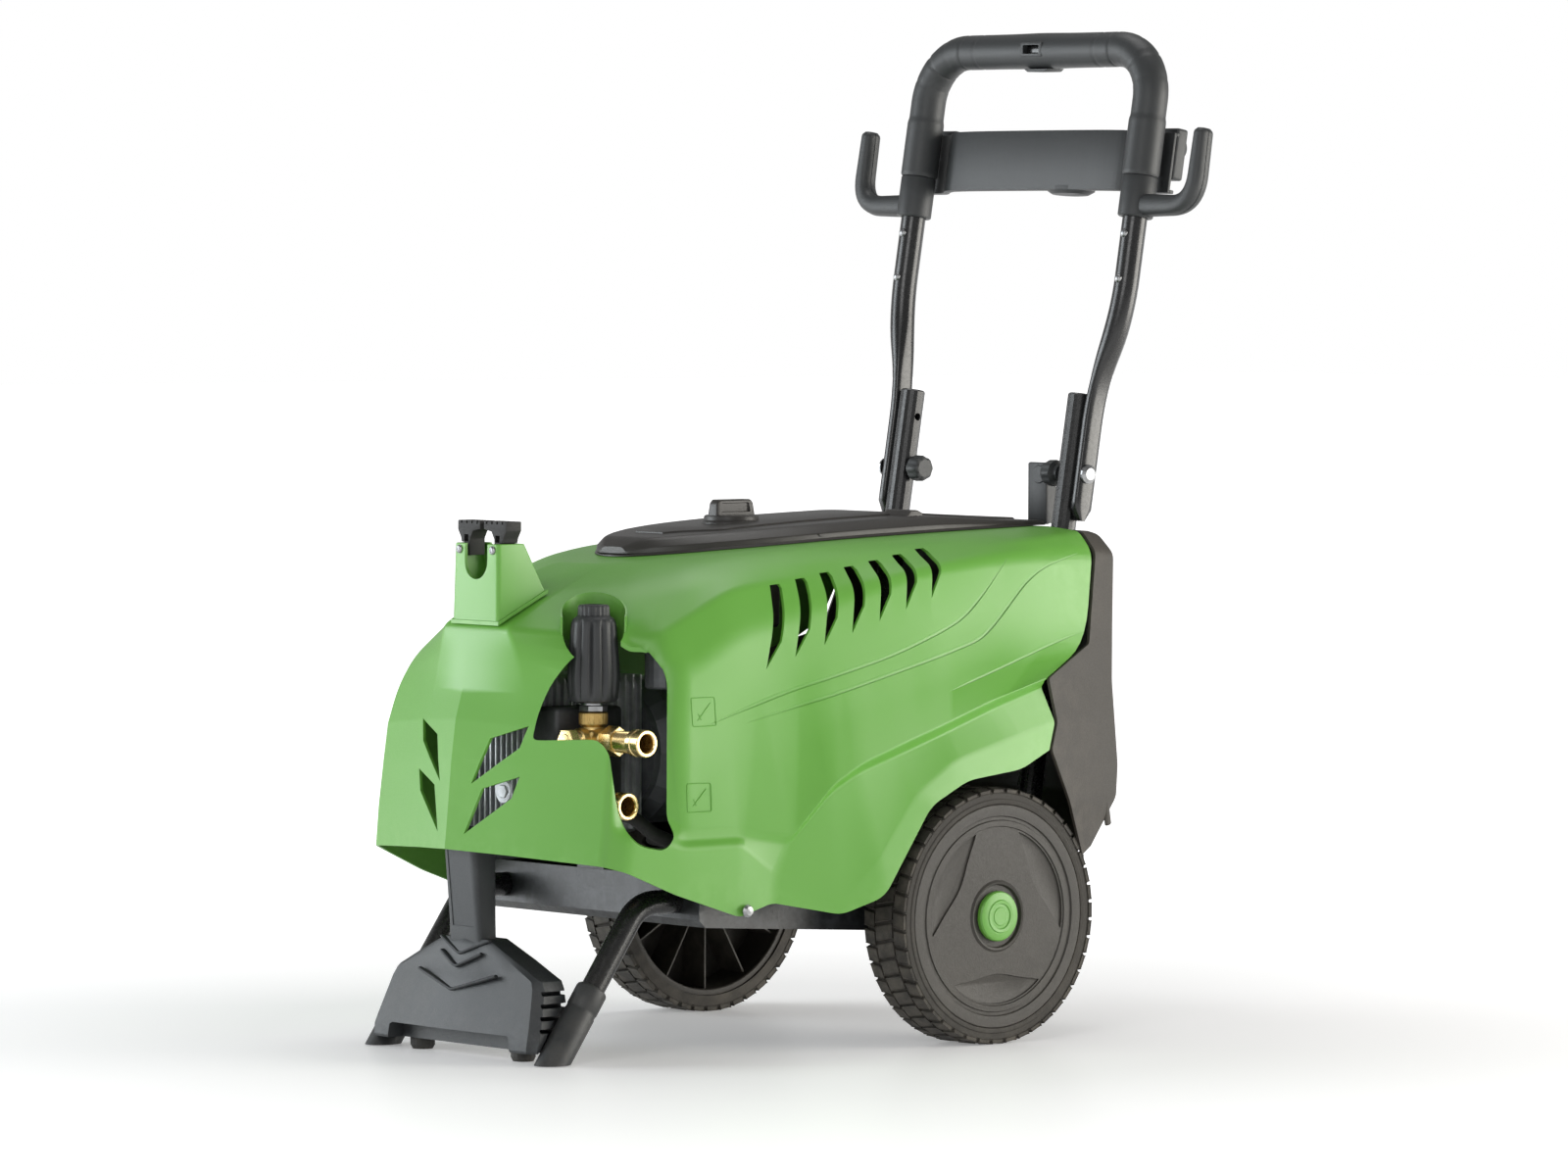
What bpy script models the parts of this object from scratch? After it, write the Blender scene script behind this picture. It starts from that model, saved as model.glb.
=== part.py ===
"""Portable electric pressure washer on two wheels, with a folding handle.

Units are metres and +Z is up.  Everything is laid out in the machine's own frame, whose Y = 0 is the
wheel axle, +X is the side of the pump outlet and -Y is the nose.  The empty "machine" carries that
frame, and AXLE_Y moves it so that the world origin lies on the ground, under the middle of the box.
"""
import math

import bmesh
import bpy
from mathutils import Matrix, Vector

# ---------------------------------------------------------------- driving sizes
GAP = 0.0004                 # between pieces that touch
RUN_GAP = 0.0006             # round pieces that turn in or on each other

WHEEL_DIAMETER = 0.250
WHEEL_WIDTH = 0.0554
WHEEL_OUTER_X = 0.2434       # outer face of a tyre
TYRE_SECTION = 0.0155        # height of the tread ring over the rim
HUB_CAP_DIAMETER = 0.049
AXLE_DIAMETER = 0.018

HOOD_HALF_WIDTH = 0.243
HOOD_LENGTH = 0.675
HOOD_NOSE_Y = -0.494
HOOD_BASE_Z = 0.135
HOOD_HEIGHT = 0.3625
HOOD_WALL = 0.003
HOOD_REAR_Y = HOOD_NOSE_Y + HOOD_LENGTH
ARCH_CLEARANCE = 0.005       # least air between tyre and wheel arch

TRAY_HALF_WIDTH = 0.165
TRAY_FRONT_Y = -0.315
TRAY_REAR_Y = HOOD_REAR_Y + 0.005
TRAY_TOP_Z = 0.172
TRAY_WALL = 0.0025
TRAY_FLOOR_Z = 0.1115
TRAY_REAR_FLOOR_Z = 0.124

TUBE_DIAMETER = 0.025
FRAME_TUBE_X = 0.1255
HANDLE_TUBE_X = 0.1657
LEAN = math.radians(9.6)     # frame tubes and handle lean back
FRAME_STANDOFF = 0.0204      # from the hood's rear edge back to the fold bolts
PIVOT_Y = HOOD_REAR_Y + FRAME_STANDOFF
PIVOT_Z = 0.5497
FRAME_TUBE_TOP_Z = 0.629
HANDLE_TOP_Z = 0.974         # centre line of the handle's cross bar
HANDLE_BACKSET = 0.0055      # the upper handle stands this far behind the frame tubes' line
HANDLE_CORNER_RADIUS = 0.052
PRESSED_THICKNESS = 0.0115   # the handle's lower ends are pressed flat
PRESSED_WIDTH = 0.023
PRESSED_BACKSET = 0.003      # the flat ends stand this far behind the frame tubes' line
PRESSED_DROP = 0.0475        # from the pivot down to their ends
BEND_FOOT = 0.084            # above the pivot, where the legs begin to spread
BEND_TOP = 0.160             # above the pivot, where they run on at full spread
GRIP_DIAMETER = 0.0355
SLEEVE_DIAMETER = 0.0375
HOOK_REACH_X = 0.2485
PIVOT_BOLT_DIAMETER = 0.008
CLAMP_KNOB_DIAMETER = 0.027

FOOT_HALF_WIDTH = 0.125
FOOT_FRONT_Y = -0.494
FOOT_HEIGHT = 0.113
POST_HALF_WIDTH = 0.024
STAND_TUBE_X = 0.130
STAND_SLEEVE_DIAMETER = 0.031
RUBBER_FOOT_X = 0.0772
RUBBER_FOOT_Y = -0.4593
RUBBER_FOOT_DIAMETER = 0.024

MOTOR_RADIUS = 0.072
MOTOR_AXIS_Z = 0.285
MOTOR_FRONT_Y = -0.285
MOTOR_LENGTH = 0.300
SHAFT_DIAMETER = 0.019

UNLOADER_X = 0.105
UNLOADER_Y = -0.397
OUTLET_Z = 0.305
INLET_Z = 0.244
OUTLET_END_X = 0.185
INLET_END_X = 0.158
NIPPLE_RADIUS = 0.0131
NIPPLE_BORE = 0.0085
KNOB_RADIUS = 0.0255
KNOB_BOTTOM_Z = 0.341
KNOB_TOP_Z = 0.434

PANEL_HALF_WIDTH = 0.106
PANEL_FRONT_Y = -0.291
PANEL_REAR_Y = HOOD_REAR_Y + 0.005
PANEL_HEIGHT = 0.0155
PANEL_TAIL_HEIGHT = 0.0045
PANEL_FALL_Y = PANEL_REAR_Y - 0.166   # behind this the panel runs down to its tail
SWITCH_Y = -0.136
SWITCH_RADIUS = 0.030
SWITCH_HEIGHT = 0.032
SWITCH_WELL = 0.008          # depth of the round well that the switch sits in

HOLDER_HALF_WIDTH = 0.035
HOLDER_HEIGHT = 0.078
NOTCH_RADIUS = 0.0172

BAND_LOW = 0.284             # above the pivot
BAND_HIGH = 0.345
BAND_KNOB_REACH = 0.0520     # behind the middle of the handle tube

BAND_KNOB_RISE = 0.017       # above the middle of the band

# the rearmost point is the top of the clamp knobs on the band
REAR_END_Y = (PIVOT_Y + (BAND_LOW + BAND_HIGH) / 2 * math.tan(LEAN) + HANDLE_BACKSET
              + BAND_KNOB_RISE * math.sin(LEAN) + BAND_KNOB_REACH * math.cos(LEAN))
AXLE_Y = -(HOOD_NOSE_Y + REAR_END_Y) / 2

WHEEL_RADIUS = WHEEL_DIAMETER / 2
AXLE_Z = WHEEL_RADIUS
AXLE_RADIUS = AXLE_DIAMETER / 2
TUBE_RADIUS = TUBE_DIAMETER / 2
SIDES = (("left", -1), ("right", 1))


# ---------------------------------------------------------------- helpers
def clear_scene():
    for item in list(bpy.data.objects):
        bpy.data.objects.remove(item, do_unlink=True)


def material(name, color, roughness, metallic=0.0):
    made = bpy.data.materials.get(name)
    if made is None:
        made = bpy.data.materials.new(name)
        made.use_nodes = True
        shader = made.node_tree.nodes["Principled BSDF"]
        shader.inputs["Base Color"].default_value = (*color, 1.0)
        shader.inputs["Roughness"].default_value = roughness
        shader.inputs["Metallic"].default_value = metallic
    return made


def green():
    return material("green_plastic", (0.13, 0.36, 0.06), 0.42)


def black():
    return material("black_plastic", (0.028, 0.03, 0.032), 0.5)


def grey_black():
    return material("warm_black_plastic", (0.05, 0.046, 0.038), 0.6)


def black_paint():
    return material("black_paint", (0.012, 0.012, 0.013), 0.25)


def soft_rubber():
    return material("rubber", (0.02, 0.02, 0.02), 0.8)


def brass():
    return material("brass", (0.78, 0.56, 0.24), 0.28, 1.0)


def steel():
    return material("bright_steel", (0.75, 0.75, 0.76), 0.22, 1.0)


def cast_aluminium():
    return material("cast_aluminium", (0.55, 0.56, 0.58), 0.45, 1.0)


def cast_grey():
    return material("dark_casting", (0.05, 0.052, 0.055), 0.5, 0.3)


def motor_grey():
    return material("motor_paint", (0.16, 0.17, 0.18), 0.45, 0.4)


def place(name, mesh, finish, origin=(0, 0, 0), turn=None, sharp=35):
    """Link a mesh as a sub-part whose origin is a point of the machine's frame."""
    piece = bpy.data.objects.new(name, mesh)
    bpy.context.scene.collection.objects.link(piece)
    piece.parent = bpy.data.objects["machine"]
    piece.location = origin
    if turn is not None:
        piece.rotation_euler = turn
    mesh.materials.append(finish)
    mesh.shade_smooth()
    mesh.set_sharp_from_angle(angle=math.radians(sharp))
    return piece


def to_mesh(name, bm):
    bmesh.ops.recalc_face_normals(bm, faces=bm.faces)
    mesh = bpy.data.meshes.new(name)
    bm.to_mesh(mesh)
    bm.free()
    return mesh


def cutter(name, mesh, origin=(0, 0, 0), turn=None):
    """A cutting shape, which is no part of the machine."""
    tool = bpy.data.objects.new("cut_" + name, mesh)
    bpy.context.scene.collection.objects.link(tool)
    tool.parent = bpy.data.objects["machine"]
    tool.location = origin
    if turn is not None:
        tool.rotation_euler = turn
    tool.hide_render = True
    tool.display_type = "WIRE"
    return tool


def combine(piece, tool, operation="DIFFERENCE"):
    step = piece.modifiers.new(tool.name, "BOOLEAN")
    step.operation = operation
    step.object = tool
    step.solver = "EXACT"


def turned_mesh(name, profile, segments, axis="Z"):
    """A solid turned about an axis from (radius, height) points, outer side from top to bottom."""
    bm = bmesh.new()
    ring = [bm.verts.new((radius, 0, height)) for radius, height in profile]
    edges = [bm.edges.new((ring[i], ring[i + 1])) for i in range(len(ring) - 1)]
    if profile[0][0] > 0:
        edges.append(bm.edges.new((ring[-1], ring[0])))
    bmesh.ops.spin(bm, geom=ring + edges, cent=(0, 0, 0), axis=(0, 0, 1), angle=2 * math.pi,
                   steps=segments, use_merge=True)
    bmesh.ops.remove_doubles(bm, verts=bm.verts, dist=1e-6)
    if axis == "X":
        bmesh.ops.rotate(bm, verts=bm.verts, matrix=Matrix.Rotation(math.pi / 2, 3, "Y"))
    if axis == "Y":
        bmesh.ops.rotate(bm, verts=bm.verts, matrix=Matrix.Rotation(-math.pi / 2, 3, "X"))
    return to_mesh(name, bm)


def rod_mesh(name, radius, start, end, segments=16, axis="Z", chamfer=0.0):
    """A plain round rod between two heights on an axis."""
    profile = [(0, end), (radius - chamfer, end)]
    if chamfer:
        profile.append((radius, end - chamfer))
        profile.append((radius, start + chamfer))
    else:
        profile[-1] = (radius, end)
    profile.append((radius - chamfer, start))
    profile.append((0, start))
    return turned_mesh(name, profile, segments, axis)


def ring_mesh(name, inner, outer, start, end, segments=24, axis="Z"):
    profile = [(inner, end), (outer, end), (outer, start), (inner, start)]
    return turned_mesh(name, profile, segments, axis)


def box_mesh(name, low, high, bevel=0.0):
    bm = bmesh.new()
    bmesh.ops.create_cube(bm, size=1.0)
    size = Vector(high) - Vector(low)
    bmesh.ops.scale(bm, vec=size, verts=bm.verts)
    bmesh.ops.translate(bm, vec=(Vector(high) + Vector(low)) / 2, verts=bm.verts)
    if bevel:
        bmesh.ops.bevel(bm, geom=bm.edges[:], offset=bevel, segments=1, profile=0.5,
                        affect="EDGES", material=-1)
    return to_mesh(name, bm)


def prism_mesh(name, outline, start, end, axis="X", bevel=0.0):
    """An outline of (a, b) points pushed along an axis: (Y, Z) for X, (X, Z) for Y, (X, Y) for Z."""
    bm = bmesh.new()
    frames = {"X": lambda a, b: (start, a, b), "Y": lambda a, b: (a, start, b),
              "Z": lambda a, b: (a, b, start)}
    face = bm.faces.new([bm.verts.new(frames[axis](a, b)) for a, b in outline])
    push = {"X": (end - start, 0, 0), "Y": (0, end - start, 0), "Z": (0, 0, end - start)}[axis]
    grown = bmesh.ops.extrude_face_region(bm, geom=[face])["geom"]
    bmesh.ops.translate(bm, vec=push, verts=[g for g in grown if isinstance(g, bmesh.types.BMVert)])
    if bevel:
        bmesh.ops.bevel(bm, geom=bm.edges[:], offset=bevel, segments=1, profile=0.5,
                        affect="EDGES", material=-1)
    return to_mesh(name, bm)


def hexagon_mesh(name, across_flats, start, end, axis="X"):
    return rod_mesh(name, across_flats / math.sqrt(3), start, end, 6, axis)


def loft_mesh(name, rings, hollow=False):
    """Closed rings of points joined one after another, with capped ends or back to the first."""
    bm = bmesh.new()
    loops = [[bm.verts.new(point) for point in ring] for ring in rings]
    following = loops[1:] + loops[:1] if hollow else loops[1:]
    for lower, upper in zip(loops, following):
        for i in range(len(lower)):
            j = (i + 1) % len(lower)
            bm.faces.new((lower[i], lower[j], upper[j], upper[i]))
    if not hollow:
        bm.faces.new(loops[0])
        bm.faces.new(loops[-1])
    return to_mesh(name, bm)


def oval(center, side, front, half_a, half_b, count):
    """A ring of points about a centre, with two half axes along two directions."""
    points = []
    for step in range(count):
        angle = 2 * math.pi * (step + 0.5) / count
        points.append(center + side * (half_a * math.cos(angle)) + front * (half_b * math.sin(angle)))
    return points


def sweep_rings(path, half_a, half_b, side, count=14):
    """Rings square to a path.  half_a and half_b are functions of the point's number."""
    rings = []
    for number, point in enumerate(path):
        before = path[max(number - 1, 0)]
        after = path[min(number + 1, len(path) - 1)]
        along = (after - before).normalized()
        across = (side - along * side.dot(along)).normalized()
        rings.append(oval(point, across, along.cross(across), half_a(number), half_b(number), count))
    return rings


def rounded_path(points, radius, steps=5):
    """The same path with each corner turned into an arc."""
    path = [points[0]]
    for before, corner, after in zip(points, points[1:], points[2:]):
        back = (before - corner).normalized()
        ahead = (after - corner).normalized()
        half = back.angle(ahead) / 2
        reach = min(radius / math.tan(half), 0.49 * min((before - corner).length,
                                                        (after - corner).length))
        bend = reach * math.tan(half)
        centre = corner + (back + ahead).normalized() * (bend / math.sin(half))
        first = corner + back * reach - centre
        last = corner + ahead * reach - centre
        turn = first.rotation_difference(last)
        for step in range(steps + 1):
            part = turn.copy()
            part.angle = turn.angle * step / steps
            path.append(centre + part @ first)
    path.append(points[-1])
    return path


def blend(start, end, part):
    return start + (end - start) * max(0.0, min(1.0, part))


# ---------------------------------------------------------------- hood
# The hood is drawn in millimetres on a reference body and scaled to its named sizes.  A column runs
# up the shell at one place round the plan, from the middle of the nose to the rear edge.
DRAWN_HALF_WIDTH = 243
DRAWN_LENGTH = 675
DRAWN_NOSE_Y = -494
DRAWN_BASE_Z = 135
DRAWN_HEIGHT = 362.5

HOOD_COLUMNS = [
    # skirt, lower crease, step foot, step edge, mid face, shoulder, roof edge, island foot, island top
    [(0, -494, 199), (0, -490, 240), (0, -486, 285), (0, -481, 323), (0, -471, 356),
     (0, -466, 392), (0, -458, 412), (0, -402, 442), (0, -335, 468)],
    [(70, -474, 196), (70, -470, 236), (69, -466, 281), (68, -461, 319), (67, -452, 352),
     (56, -454, 391), (48, -457, 411), (48, -402, 441), (35, -328, 469)],
    [(174, -443, 190), (175, -439, 228), (174, -434, 272), (173, -429, 310), (170, -419, 345),
     (158, -408, 374), (132, -394, 401), (100, -350, 447), (65, -312, 471)],
    [(187, -423, 184), (188, -419, 220), (187, -408, 240), (186, -405, 262), (184, -396, 330),
     (176, -382, 371), (154, -364, 405), (120, -322, 452), (85, -295, 473)],
    [(195, -369, 161), (197, -362, 205), (192, -357, 212), (191, -355, 222), (188, -350, 310),
     (181, -345, 371), (159, -330, 420), (133, -300, 457), (100, -275, 475.5)],
    [(205, -298, 137), (205, -296, 206), (200, -294, 213), (199, -292, 222), (192, -290, 320),
     (183, -290, 401), (160, -282, 445), (140, -262, 462), (112, -245, 478.5)],
    [(208, -260, 149), (208, -256, 176), (209, -240, 204), (213, -238, 212), (200, -238, 320),
     (183, -245, 414), (161, -240, 451), (143, -230, 466), (119, -217, 481)],
    [(225, -187, 135), (228, -183, 150), (219, -197, 252), (226, -198, 260), (206, -190, 350),
     (183, -190, 430), (162, -190, 456), (145, -180, 471), (123, -175, 484)],
    [(239, -144, 151), (237, -150, 187), (223, -165, 270), (230, -166, 279), (209, -150, 360),
     (184, -145, 441), (162, -145, 460), (146, -143, 474), (124, -143, 486)],
    [(243, -88, 236), (239, -106, 247), (226, -110, 288), (234, -112, 298), (211, -100, 370),
     (185, -98, 452), (163, -98, 466), (147, -98, 478), (124, -98, 488.5)],
    [(243, -40, 259), (241, -58, 277), (228, -64, 303), (236, -66, 313), (212, -55, 378),
     (185, -50, 462), (163, -50, 472), (147, -50, 482), (124, -50, 490.5)],
    [(243, 30, 267), (240, 22, 298), (229, 6, 327), (237, 4, 337), (208, 60, 388),
     (184, 60, 474), (164, 50, 483), (147, 50, 489), (124, 50, 494)],
    [(240, 69, 284), (238, 78, 311), (230, 67, 345), (237, 66, 354), (201, 153, 384),
     (183, 178, 474), (165, 176, 494), (147, 176, 495.5), (124, 176, 497.5)],
]
SKIRT, ROOF_EDGE, ISLAND_TOP = 0, 6, 8
SEAT_FRONT, SEAT_REAR = 6, 7


def hood_point(x, y, z):
    """A drawn point at the hood's named sizes."""
    return Vector((x / DRAWN_HALF_WIDTH * HOOD_HALF_WIDTH,
                   HOOD_NOSE_Y + (y - DRAWN_NOSE_Y) / DRAWN_LENGTH * HOOD_LENGTH,
                   HOOD_BASE_Z + (z - DRAWN_BASE_Z) / DRAWN_HEIGHT * HOOD_HEIGHT))


def hood_x(x):
    return hood_point(x, 0, 0).x


def hood_y(y):
    return hood_point(0, y, 0).y


def hood_z(z):
    return hood_point(0, 0, z).z


def roof_z(y):
    """Height of the flat island on the roof at a place along the machine."""
    crest = [hood_point(*column[ISLAND_TOP]) for column in HOOD_COLUMNS]
    for first, second in zip(crest, crest[1:]):
        if first.y <= y <= second.y:
            return blend(first.z, second.z, (y - first.y) / (second.y - first.y))
    return crest[0].z if y < crest[0].y else crest[-1].z


def hood_shell_mesh():
    bm = bmesh.new()
    rows = []
    for column in HOOD_COLUMNS:
        points = [hood_point(*point) for point in column]
        top = points[-1]
        points.append(Vector((0, top.y, top.z)))
        rows.append([bm.verts.new(point) for point in points])
    for near, far in zip(rows, rows[1:]):
        for level in range(len(near) - 1):
            bm.faces.new((near[level], far[level], far[level + 1], near[level + 1]))
    bmesh.ops.mirror(bm, geom=bm.verts[:] + bm.edges[:] + bm.faces[:], axis="X", merge_dist=1e-5)
    bmesh.ops.remove_doubles(bm, verts=bm.verts, dist=1e-5)
    bmesh.ops.dissolve_degenerate(bm, edges=bm.edges, dist=1e-5)
    bmesh.ops.recalc_face_normals(bm, faces=bm.faces)
    mesh = bpy.data.meshes.new("hood")
    bm.to_mesh(mesh)
    bm.free()
    return mesh


def slot_tools(sign):
    """The seven slanted cooling slots of one side."""
    bm = bmesh.new()
    for number in range(7):
        part = number / 6
        top = hood_point(0, blend(-227, -32, part), blend(451, 481, part))
        foot = hood_point(0, blend(-252, -44, part), blend(371, 434, part))
        width = 0.0115
        low_x = sign * hood_x(140)
        high_x = sign * hood_x(240)
        corners = [(foot.y, foot.z), (foot.y + width * 0.7, foot.z + 0.012),
                   (top.y + width, top.z - 0.004), (top.y + 0.002, top.z)]
        face = bm.faces.new([bm.verts.new((low_x, a, b)) for a, b in corners])
        grown = bmesh.ops.extrude_face_region(bm, geom=[face])["geom"]
        bmesh.ops.translate(bm, vec=(high_x - low_x, 0, 0),
                            verts=[g for g in grown if isinstance(g, bmesh.types.BMVert)])
    return to_mesh("slots", bm)


def nose_vent_tools():
    """Two swept vents on each side of the nose's middle crease."""
    bm = bmesh.new()
    upper = [(24, 262), (40.5, 306), (81, 319), (74, 298)]
    lower = [(20, 214), (36.5, 258), (77, 271), (70, 250)]
    for sign in (-1, 1):
        for outline in (upper, lower):
            points = [hood_point(sign * x, DRAWN_NOSE_Y - 10, z) for x, z in outline]
            face = bm.faces.new([bm.verts.new(point) for point in points])
            grown = bmesh.ops.extrude_face_region(bm, geom=[face])["geom"]
            bmesh.ops.translate(bm, vec=(0, 0.06, 0),
                                verts=[g for g in grown if isinstance(g, bmesh.types.BMVert)])
    return to_mesh("nose_vents", bm)


def pump_bay_tool():
    """The opening in the front right corner, cut along the corner's diagonal."""
    corner = hood_point(186, -441, 0)
    outline = [(27, 394), (43, 382), (51, 364), (51, 232), (60, 216), (50, 203), (26, 208),
               (12, 223), (5, 241), (-3, 297), (-14, 309), (-66, 306), (-77, 306), (-72, 330),
               (-60, 358), (-42, 382), (-20, 398), (6, 402)]
    along = Vector((0.653, 0.757, 0))
    out = Vector((0.757, -0.653, 0))
    bm = bmesh.new()
    scale = HOOD_LENGTH / DRAWN_LENGTH
    base = Vector((corner.x, corner.y, 0)) - out * 0.075
    points = []
    for distance, height in outline:
        point = base + along * (distance * scale)
        point.z = hood_z(height)
        points.append(point)
    face = bm.faces.new([bm.verts.new(point) for point in points])
    grown = bmesh.ops.extrude_face_region(bm, geom=[face])["geom"]
    bmesh.ops.translate(bm, vec=out * 0.2, verts=[g for g in grown if isinstance(g, bmesh.types.BMVert)])
    return to_mesh("pump_bay", bm)


def build_hood():
    shell = place("hood", hood_shell_mesh(), green())
    wall = shell.modifiers.new("wall", "SOLIDIFY")
    wall.thickness = HOOD_WALL
    wall.offset = -1.0
    wall.use_even_offset = False
    combine(shell, cutter("nose_vents", nose_vent_tools()))
    for side, sign in SIDES:
        combine(shell, cutter("slots_" + side, slot_tools(sign)))
    combine(shell, cutter("pump_bay", pump_bay_tool()))
    knob_well = rod_mesh("knob_well", KNOB_RADIUS + 0.0050, KNOB_BOTTOM_Z, hood_z(470), 20)
    combine(shell, cutter("knob_well", knob_well, (UNLOADER_X, UNLOADER_Y, 0)))
    switch_hole = rod_mesh("switch_hole", 0.008, hood_z(440), hood_z(520), 12)
    combine(shell, cutter("switch_hole", switch_hole, (0, SWITCH_Y, 0)))
    for side, sign in SIDES:
        arch = rod_mesh("arch", WHEEL_RADIUS + ARCH_CLEARANCE, hood_x(170), hood_x(280), 40, "X")
        spot = (0 if sign > 0 else -hood_x(450), 0, AXLE_Z)
        combine(shell, cutter("arch_" + side, arch, spot))
        hole = rod_mesh("hole", 0.0033, -0.03, 0.03, 10, "X")
        combine(shell, cutter("hood_hole_" + side, hole, hood_screw_spot(sign)))


def hood_screw_spot(sign):
    spot = hood_point(202, -292, 143)
    return (sign * spot.x, spot.y, spot.z)


def build_hood_screws():
    for side, sign in SIDES:
        x, y, z = hood_screw_spot(sign)
        head = 0.0062
        profile = [(0, 0.0115), (head * 0.7, 0.0105), (head, 0.0078), (head, 0.0068), (0.0028, 0.0068),
                   (0.0028, -0.012), (0, -0.012)]
        mesh = turned_mesh("hood_screw_" + side, profile, 12, "X")
        place("hood_screw_" + side, mesh, steel(), (x, y, z), (0, 0, 0 if sign > 0 else math.pi))


# ---------------------------------------------------------------- rear panel and top panel
REAR_FRONT_LINE = [  # (X, Y, Z) of the panel's front edge, bottom to top, in the hood's drawing
    (206, 146, 176), (226, 110, 232), (240, 73, 284), (238, 82, 311), (237, 71, 354),
    (201, 158, 384), (183, 183, 474), (165, 181, 494)]
REAR_CORNER_LINE = [
    (196, 168, 184), (194, 203, 230), (194, 205, 262), (190, 203, 318), (188, 202, 345),
    (183, 207, 400), (174, 217, 471), (163, 207, 490)]
REAR_MIDDLE_Y = [186, 228, 229, 228, 228, 228, 228, 214]


def build_rear_panel():
    bm = bmesh.new()
    rows = []
    for front, corner, middle in zip(REAR_FRONT_LINE, REAR_CORNER_LINE, REAR_MIDDLE_Y):
        inner = (corner[0] - 28, (corner[1] + middle * 3) / 4 + 1, corner[2])
        points = [hood_point(*front), hood_point(*corner), hood_point(*inner),
                  hood_point(0, middle, corner[2])]
        rows.append([bm.verts.new(point) for point in points])
    cap = [Vector(rows[-1][0].co), hood_point(160, 196, 493.5), hood_point(128, 190, 494.5),
           hood_point(0, 190, 495)]
    cap[0] = hood_point(162, 181, 494)
    rows.append([bm.verts.new(point) for point in cap])
    for lower, upper in zip(rows, rows[1:]):
        for place_in_row in range(3):
            bm.faces.new((lower[place_in_row], lower[place_in_row + 1],
                          upper[place_in_row + 1], upper[place_in_row]))
    bmesh.ops.mirror(bm, geom=bm.verts[:] + bm.edges[:] + bm.faces[:], axis="X", merge_dist=1e-5)
    bmesh.ops.remove_doubles(bm, verts=bm.verts, dist=1e-5)
    bmesh.ops.recalc_face_normals(bm, faces=bm.faces)
    mesh = bpy.data.meshes.new("rear_panel")
    bm.to_mesh(mesh)
    bm.free()
    panel = place("rear_panel", mesh, grey_black())
    wall = panel.modifiers.new("wall", "SOLIDIFY")
    wall.thickness = HOOD_WALL
    wall.offset = -1.0
    tube_hole = rod_mesh("tube_hole", TUBE_RADIUS + 0.001, -0.30, 0.2, 16)
    for side, sign in SIDES:
        combine(panel, cutter("panel_tube_" + side, tube_hole, (sign * FRAME_TUBE_X, PIVOT_Y, PIVOT_Z),
                              (-LEAN, 0, 0)))
    gland_hole = rod_mesh("gland_hole", 0.0095, -0.05, 0.05, 14, "Y")
    combine(panel, cutter("gland", gland_hole, (GLAND_X, hood_y(228), GLAND_Z)))


GLAND_X = -0.08
GLAND_Z = 0.235


def build_cable_gland():
    wall_y = hood_y(228)
    profile = [(0.006, 0.036), (0.0095, 0.030), (0.0105, 0.014), (0.015, 0.013), (0.015, 0.0035),
               (0.0088, 0.0035), (0.0088, -0.014), (0.006, -0.014)]
    mesh = turned_mesh("cable_gland", profile, 14, "Y")
    place("cable_gland", mesh, black(), (GLAND_X, wall_y, GLAND_Z))


def panel_section(y):
    """The panel's cross-section at a place along it: an oval nose, long sides and a square tail."""
    nose = 0.42 * (PANEL_REAR_Y - PANEL_FRONT_Y)
    along = min(1.0, (y - PANEL_FRONT_Y + 0.002) / nose)
    half = PANEL_HALF_WIDTH * math.sqrt(1 - (1 - along) ** 2)
    share = min(1.0, 0.3 + (y - PANEL_FRONT_Y) / 0.024)
    base = roof_z(y) + GAP
    fall = max(0.0, (y - PANEL_FALL_Y) / (PANEL_REAR_Y - PANEL_FALL_Y))
    height = blend(PANEL_HEIGHT, PANEL_TAIL_HEIGHT, fall) * share
    slope = min(height, half * 0.4)
    outline = [(half, base), (half - 0.0015, base + height * 0.3), (half - slope, base + height)]
    return [Vector((x, y, z)) for x, z in outline] + [Vector((-x, y, z)) for x, z in reversed(outline)]


def build_top_panel():
    crest = [hood_y(column[ISLAND_TOP][1]) for column in HOOD_COLUMNS]
    stations = {PANEL_FRONT_Y, PANEL_FRONT_Y + 0.007, PANEL_FRONT_Y + 0.017, PANEL_FALL_Y, PANEL_REAR_Y}
    stations.update(y for y in crest if PANEL_FRONT_Y + 0.02 < y < PANEL_REAR_Y - 0.008)
    rings = [panel_section(y) for y in sorted(stations)]
    panel = place("top_panel", loft_mesh("top_panel", rings), black())
    fin = [(0.000, 0.0055), (0.034, 0.0055), (0.034, 0.019), (0.026, 0.0225), (0.017, 0.0225)]
    seat = roof_z(PANEL_FALL_Y)
    outline = [(PANEL_FALL_Y - 0.012 + y, seat + z) for y, z in fin]
    stop = prism_mesh("stop", outline, PANEL_HALF_WIDTH * 0.45, PANEL_HALF_WIDTH * 0.80, "X")
    combine(panel, cutter("panel_stop", stop), "UNION")
    hole = rod_mesh("hole", 0.006, roof_z(SWITCH_Y) - 0.01, roof_z(SWITCH_Y) + 0.05, 12)
    combine(panel, cutter("panel_hole", hole, (0, SWITCH_Y, 0)))
    floor = switch_seat() - GAP
    well = rod_mesh("well", SWITCH_RADIUS + 0.004, floor, floor + 0.04, 24)
    combine(panel, cutter("panel_well", well, (0, SWITCH_Y, 0)))


def switch_seat():
    """Height of the switch knob's underside, in its well in the top panel."""
    return roof_z(SWITCH_Y) + PANEL_HEIGHT + GAP * 2 - SWITCH_WELL


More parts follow.
